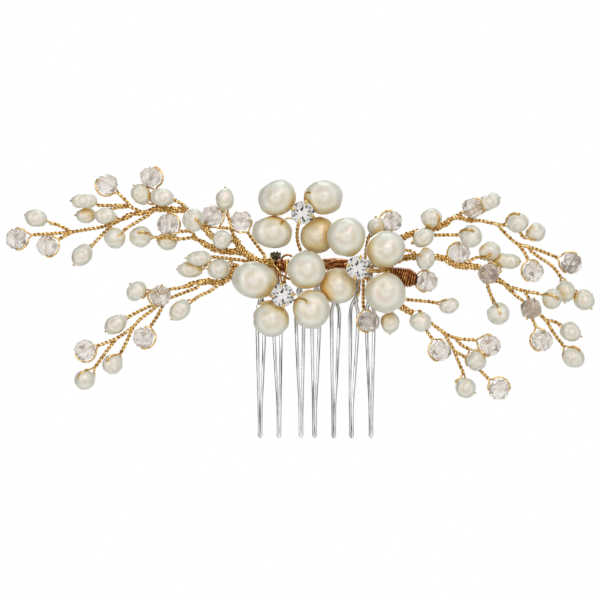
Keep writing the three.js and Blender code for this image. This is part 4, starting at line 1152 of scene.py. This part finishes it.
# Each lashing is its own piece: its node, slot and looks, the wire, turns and stations of its coil (x, y, z
# and radius), and its loose ends (radius of the wire and points).
LASHINGS = {
    "lashing_left_coil": dict(
        node="lashing_left", slot="gilt_metal", looks=[BRIGHT_GILT, GILT], wire=0.24, turns=5,
        coil=[(-12.4, -0.9, 0.3, 1.35), (-11.4, -0.9, 0.3, 1.5), (-10.2, -0.9, 0.2, 1.35)],
        ends=[(0.24, [(-7.0, -2.4, 1.2), (-7.1, -2.9, -1.0), (-7.4, -2.6, -3.6)]),
              (0.24, [(-10.8, -2.2, 0.6), (-9.2, -2.9, -1.2), (-8.4, -2.7, -3.6), (-8.2, -2.4, -5.0)])]),
    "lashing_left_wraps": dict(
        node="lashing_left", slot="binding_wire", looks=[COPPER, COPPER_PAINTED_SHADE], wire=0.24, turns=11,
        coil=[(-9.6, -0.3, -0.2, 1.55), (-6.5, -0.3, -0.3, 1.75), (-3.0, -0.3, 0.2, 1.6)],
        ends=[(0.28, [(-8.4, -1.6, 0.8), (-8.0, -2.4, 2.0), (-6.8, -2.7, 2.5), (-5.7, -2.4, 2.0),
                      (-5.3, -1.6, 0.9)]),
              (0.26, [(-9.8, -1.8, -1.4), (-8.2, -2.6, -2.6), (-6.4, -2.7, -3.6)]),
              (0.26, [(-9.9, -2.0, -0.4), (-9.3, -2.7, -2.4), (-8.9, -2.6, -4.2)]),
              (0.26, [(-9.6, -1.9, 1.0), (-7.2, -2.4, 0.2), (-4.8, -2.2, -0.6), (-2.8, -1.9, -0.9)])]),
    "lashing_middle_coil": dict(
        node="lashing_middle", slot="binding_wire", looks=[COPPER, COPPER_PAINTED_SHADE], wire=0.24, turns=13,
        coil=[(1.3, -0.2, 0.2, 1.2), (4.6, -0.2, 0.1, 1.6), (8.2, -0.2, 0, 1.3)],
        ends=[(0.24, [(1.2, -1.9, -0.4), (3.6, -2.2, 0.6), (6.0, -2.2, 1.2), (8.4, -1.8, 1.0)]),
              (0.24, [(1.2, -1.8, 0.9), (3.4, -2.2, -0.2), (5.8, -2.2, -0.9), (8.4, -1.8, -0.9)])]),
    "lashing_right_coil": dict(
        node="lashing_right", slot="binding_wire", looks=[COPPER, COPPER_PAINTED_SHADE], wire=0.2, turns=12.5,
        coil=[(18.0, -0.6, -1.2, 0.8), (20.6, -0.7, -2.2, 1.25), (22.4, -0.8, -3.0, 1.95),
              (23.6, -0.9, -3.4, 2.4), (24.7, -0.9, -3.7, 1.8)]),
    "lashing_right_strands": dict(
        node="lashing_right", slot="gilt_metal", looks=[GILT],
        ends=[(0.25, [(12.6, -2.6, -0.3), (15.0, -2.8, -0.4), (18.4, -2.2, -1.3)]),
              (0.25, [(12.6, -2.5, -0.8), (15.0, -2.7, -1.2), (18.4, -2.1, -1.7)]),
              (0.25, [(12.8, -2.3, -1.5), (15.4, -2.4, -1.8), (18.6, -1.9, -2.1)]),
              (0.22, [(11.2, -3.4, -3.4), (11.0, -3.2, -5.0), (11.1, -3.0, -6.4), (10.5, -2.6, -7.8)])]),
    "comb_tooth_2_knot": dict(
        node="comb_tooth_2", slot="comb_steel", looks=[TARNISHED, TARNISHED], wire=0.3, turns=3.5,
        coil=[(-10.9, -2.0, 2.2, 0.7), (-9.8, -2.0, 2.3, 0.95), (-8.7, -2.0, 2.1, 0.7)]),
}


def coil(shape, stations, turns, wire):
    """A wire wound round stations of x, y, z and radius, over a plain core in its second look; on the copper
    lashings that look is painted groove shade.
    """
    axis = curve_through([at(s[:3]) for s in stations], COIL["step"] * MM)
    last = len(axis) - 1
    radii = []
    for i in range(len(axis)):
        place = i / last * (len(stations) - 1)
        lower = min(int(place), len(stations) - 2)
        a, b = stations[lower][3], stations[lower + 1][3]
        radii.append((a + (b - a) * (place - lower)) * MM)
    length = sum((b - a).length for a, b in zip(axis, axis[1:]))
    shape.tube(wound(axis, radii, length / turns, 0.0), wire * MM, COIL["sides"])
    # The core wears the second look: on the copper lashings, painted shade for the grooves.
    every = COIL["core_every"]
    core = [radius - wire * COIL["sunk"] * MM for radius in radii[::every]]
    shape.tube(axis[::every], core, COIL["core_sides"], 1)


def add_lashing(name, lashing):
    """The coil of a lashing, if it has one, with its loose ends."""
    shape = Shape()
    if "coil" in lashing:
        coil(shape, lashing["coil"], lashing["turns"], lashing["wire"])
    for radius, points in lashing.get("ends", []):
        shape.wire([at(p) for p in points], radius * MM, "loose")
    add_piece(name, shape.mesh(lashing["node"]), lashing["looks"], [lashing["node"]])


def petal_skin(name, x, z, lift):
    """The point on the front of a petal at x and z, raised by the lift."""
    length, width, thickness, tilt = PETALS[name]
    low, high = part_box(name)
    middle = (low + high) / 2
    turn = tilted(middle, tilt)
    across = turn.to_3x3().transposed() @ Vector((x * MM - middle.x, 0, z * MM - middle.z))
    flat = (across.x / (length * MM / 2)) ** 2 + (across.z / (width * MM / 2)) ** 2
    depth = thickness * MM / 2 * math.sqrt(max(0.0, 1 - flat))
    return Vector((x * MM, middle.y - depth - lift * MM, z * MM))


def add_hooks():
    """The ends of wire that are finished off over some petals."""
    for petal, node, points in HOOKS:
        shape = Shape()
        route = [petal_skin(petal, x, z, HOOK["lift"]) for x, z in points]
        shape.wire(route, HOOK["wire"] * MM, "loose")
        title = f"{node}_hook_{petal[-2:]}"
        add_piece(title, shape.mesh(title), [GILT], [node])


# ---- Studio ----

def add_floor():
    """A pale disc well below the comb."""
    disc = bmesh.new()
    bmesh.ops.create_circle(disc, cap_ends=True, segments=96, radius=FLOOR["radius"] * MM)
    bmesh.ops.translate(disc, vec=(0, 0, FLOOR["z"] * MM), verts=disc.verts)
    mesh = finished(disc, "floor")
    look, tree, shader = new_look("pale_floor")
    clouds = noise_of(tree, own_place(tree), 60, detail=3)
    tone = ramp(tree, clouds, [(0.3, (0.90, 0.895, 0.885)), (0.7, (0.93, 0.925, 0.92))])
    dress(tree, shader, Base_Color=tone, Roughness=0.7)
    mesh.materials.append(look)
    placed("floor", mesh)


def add_light(name, place, power, size, colour):
    """A round lamp that faces the comb and isn't seen itself."""
    lamp = bpy.data.lights.new(name, "AREA")
    lamp.energy = power
    lamp.shape = "DISK"
    lamp.size = size * MM
    lamp.color = colour
    light = placed(name, lamp)
    light.location = at(place)
    light.rotation_euler = (-light.location).to_track_quat("-Z", "Y").to_euler()
    light.visible_camera = False
    light.visible_transmission = False


def add_sky():
    """A white studio in front and behind, dim flags in a ring round the sides, and warm light from below."""
    world = bpy.data.worlds.new("studio")
    world.use_nodes = True
    tree = world.node_tree
    way = add_node(tree, "ShaderNodeTexCoord").outputs["Generated"]
    parts = add_node(tree, "ShaderNodeSeparateXYZ", Vector=way)
    across, depth, height = (spread_from(tree, parts.outputs[axis], -1.0, 1.0) for axis in "XYZ")
    tone = ramp(tree, height, [(0.12, (0.72, 0.56, 0.36)), (0.40, (0.80, 0.73, 0.62)),
                               (0.52, (0.88, 0.88, 0.86)), (0.85, (1.0, 1.0, 1.0))])
    flag = ramp(tree, across, [(0.28, (0.02, 0.02, 0.02)), (0.5, (0.38, 0.355, 0.31)),
                               (0.85, (0.46, 0.435, 0.38))])
    ring = ramp(tree, depth, [(0.22, (0.0, 0.0, 0.0)), (0.29, (1.0, 1.0, 1.0)), (0.76, (1.0, 1.0, 1.0)),
                              (0.84, (0.0, 0.0, 0.0))])
    flags = mixed(tree, ring, (1.0, 1.0, 1.0), flag)
    left = ramp(tree, across, [(0.13, (0.03, 0.03, 0.03)), (0.22, (1.0, 1.0, 1.0))])
    dome = mixed(tree, 1.0, mixed(tree, 1.0, tone, flags, "MULTIPLY"), left, "MULTIPLY")
    seen = add_node(tree, "ShaderNodeLightPath").outputs["Is Camera Ray"]
    dress(tree, tree.nodes["Background"], Color=mixed(tree, seen, dome, (1.0, 1.0, 1.0)))
    bpy.context.scene.world = world


def add_camera():
    """The camera that sees the comb as the photo does."""
    lens = bpy.data.cameras.new("camera")
    lens.lens = CAMERA["lens"]
    lens.sensor_width = CAMERA["sensor"]
    lens.clip_start, lens.clip_end = (distance * MM for distance in CAMERA["clip"])
    camera = placed("camera", lens)
    camera.location = at(CAMERA["at"])
    camera.rotation_euler = (math.pi / 2, 0, 0)
    bpy.context.scene.camera = camera


# ---- The comb ----

add_camera()
add_sky()
add_floor()
for name, lamp in LAMPS.items():
    add_light(name, *lamp)
bpy.context.scene.view_settings.view_transform = "Standard"

add_rail()
for number, xs in enumerate(TEETH, 1):
    add_tooth(number, *xs)
first_seed, seed_step = SEEDS["petal"]
for number, (name, size) in enumerate(PETALS.items()):
    add_petal(name, *size, first_seed + number * seed_step)
for letter, (turn, stem) in FLOWERS.items():
    add_flower_heart(letter, turn, stem)
for name, lashing in LASHINGS.items():
    add_lashing(name, lashing)
add_hooks()
routes = {name: sprig_routes(sprig) for name, sprig in SPRIGS.items()}
first_seed, seed_step = SEEDS["sprig"]
for number, name in enumerate(SPRIGS):
    add_sprig(name, routes, first_seed + number * seed_step)
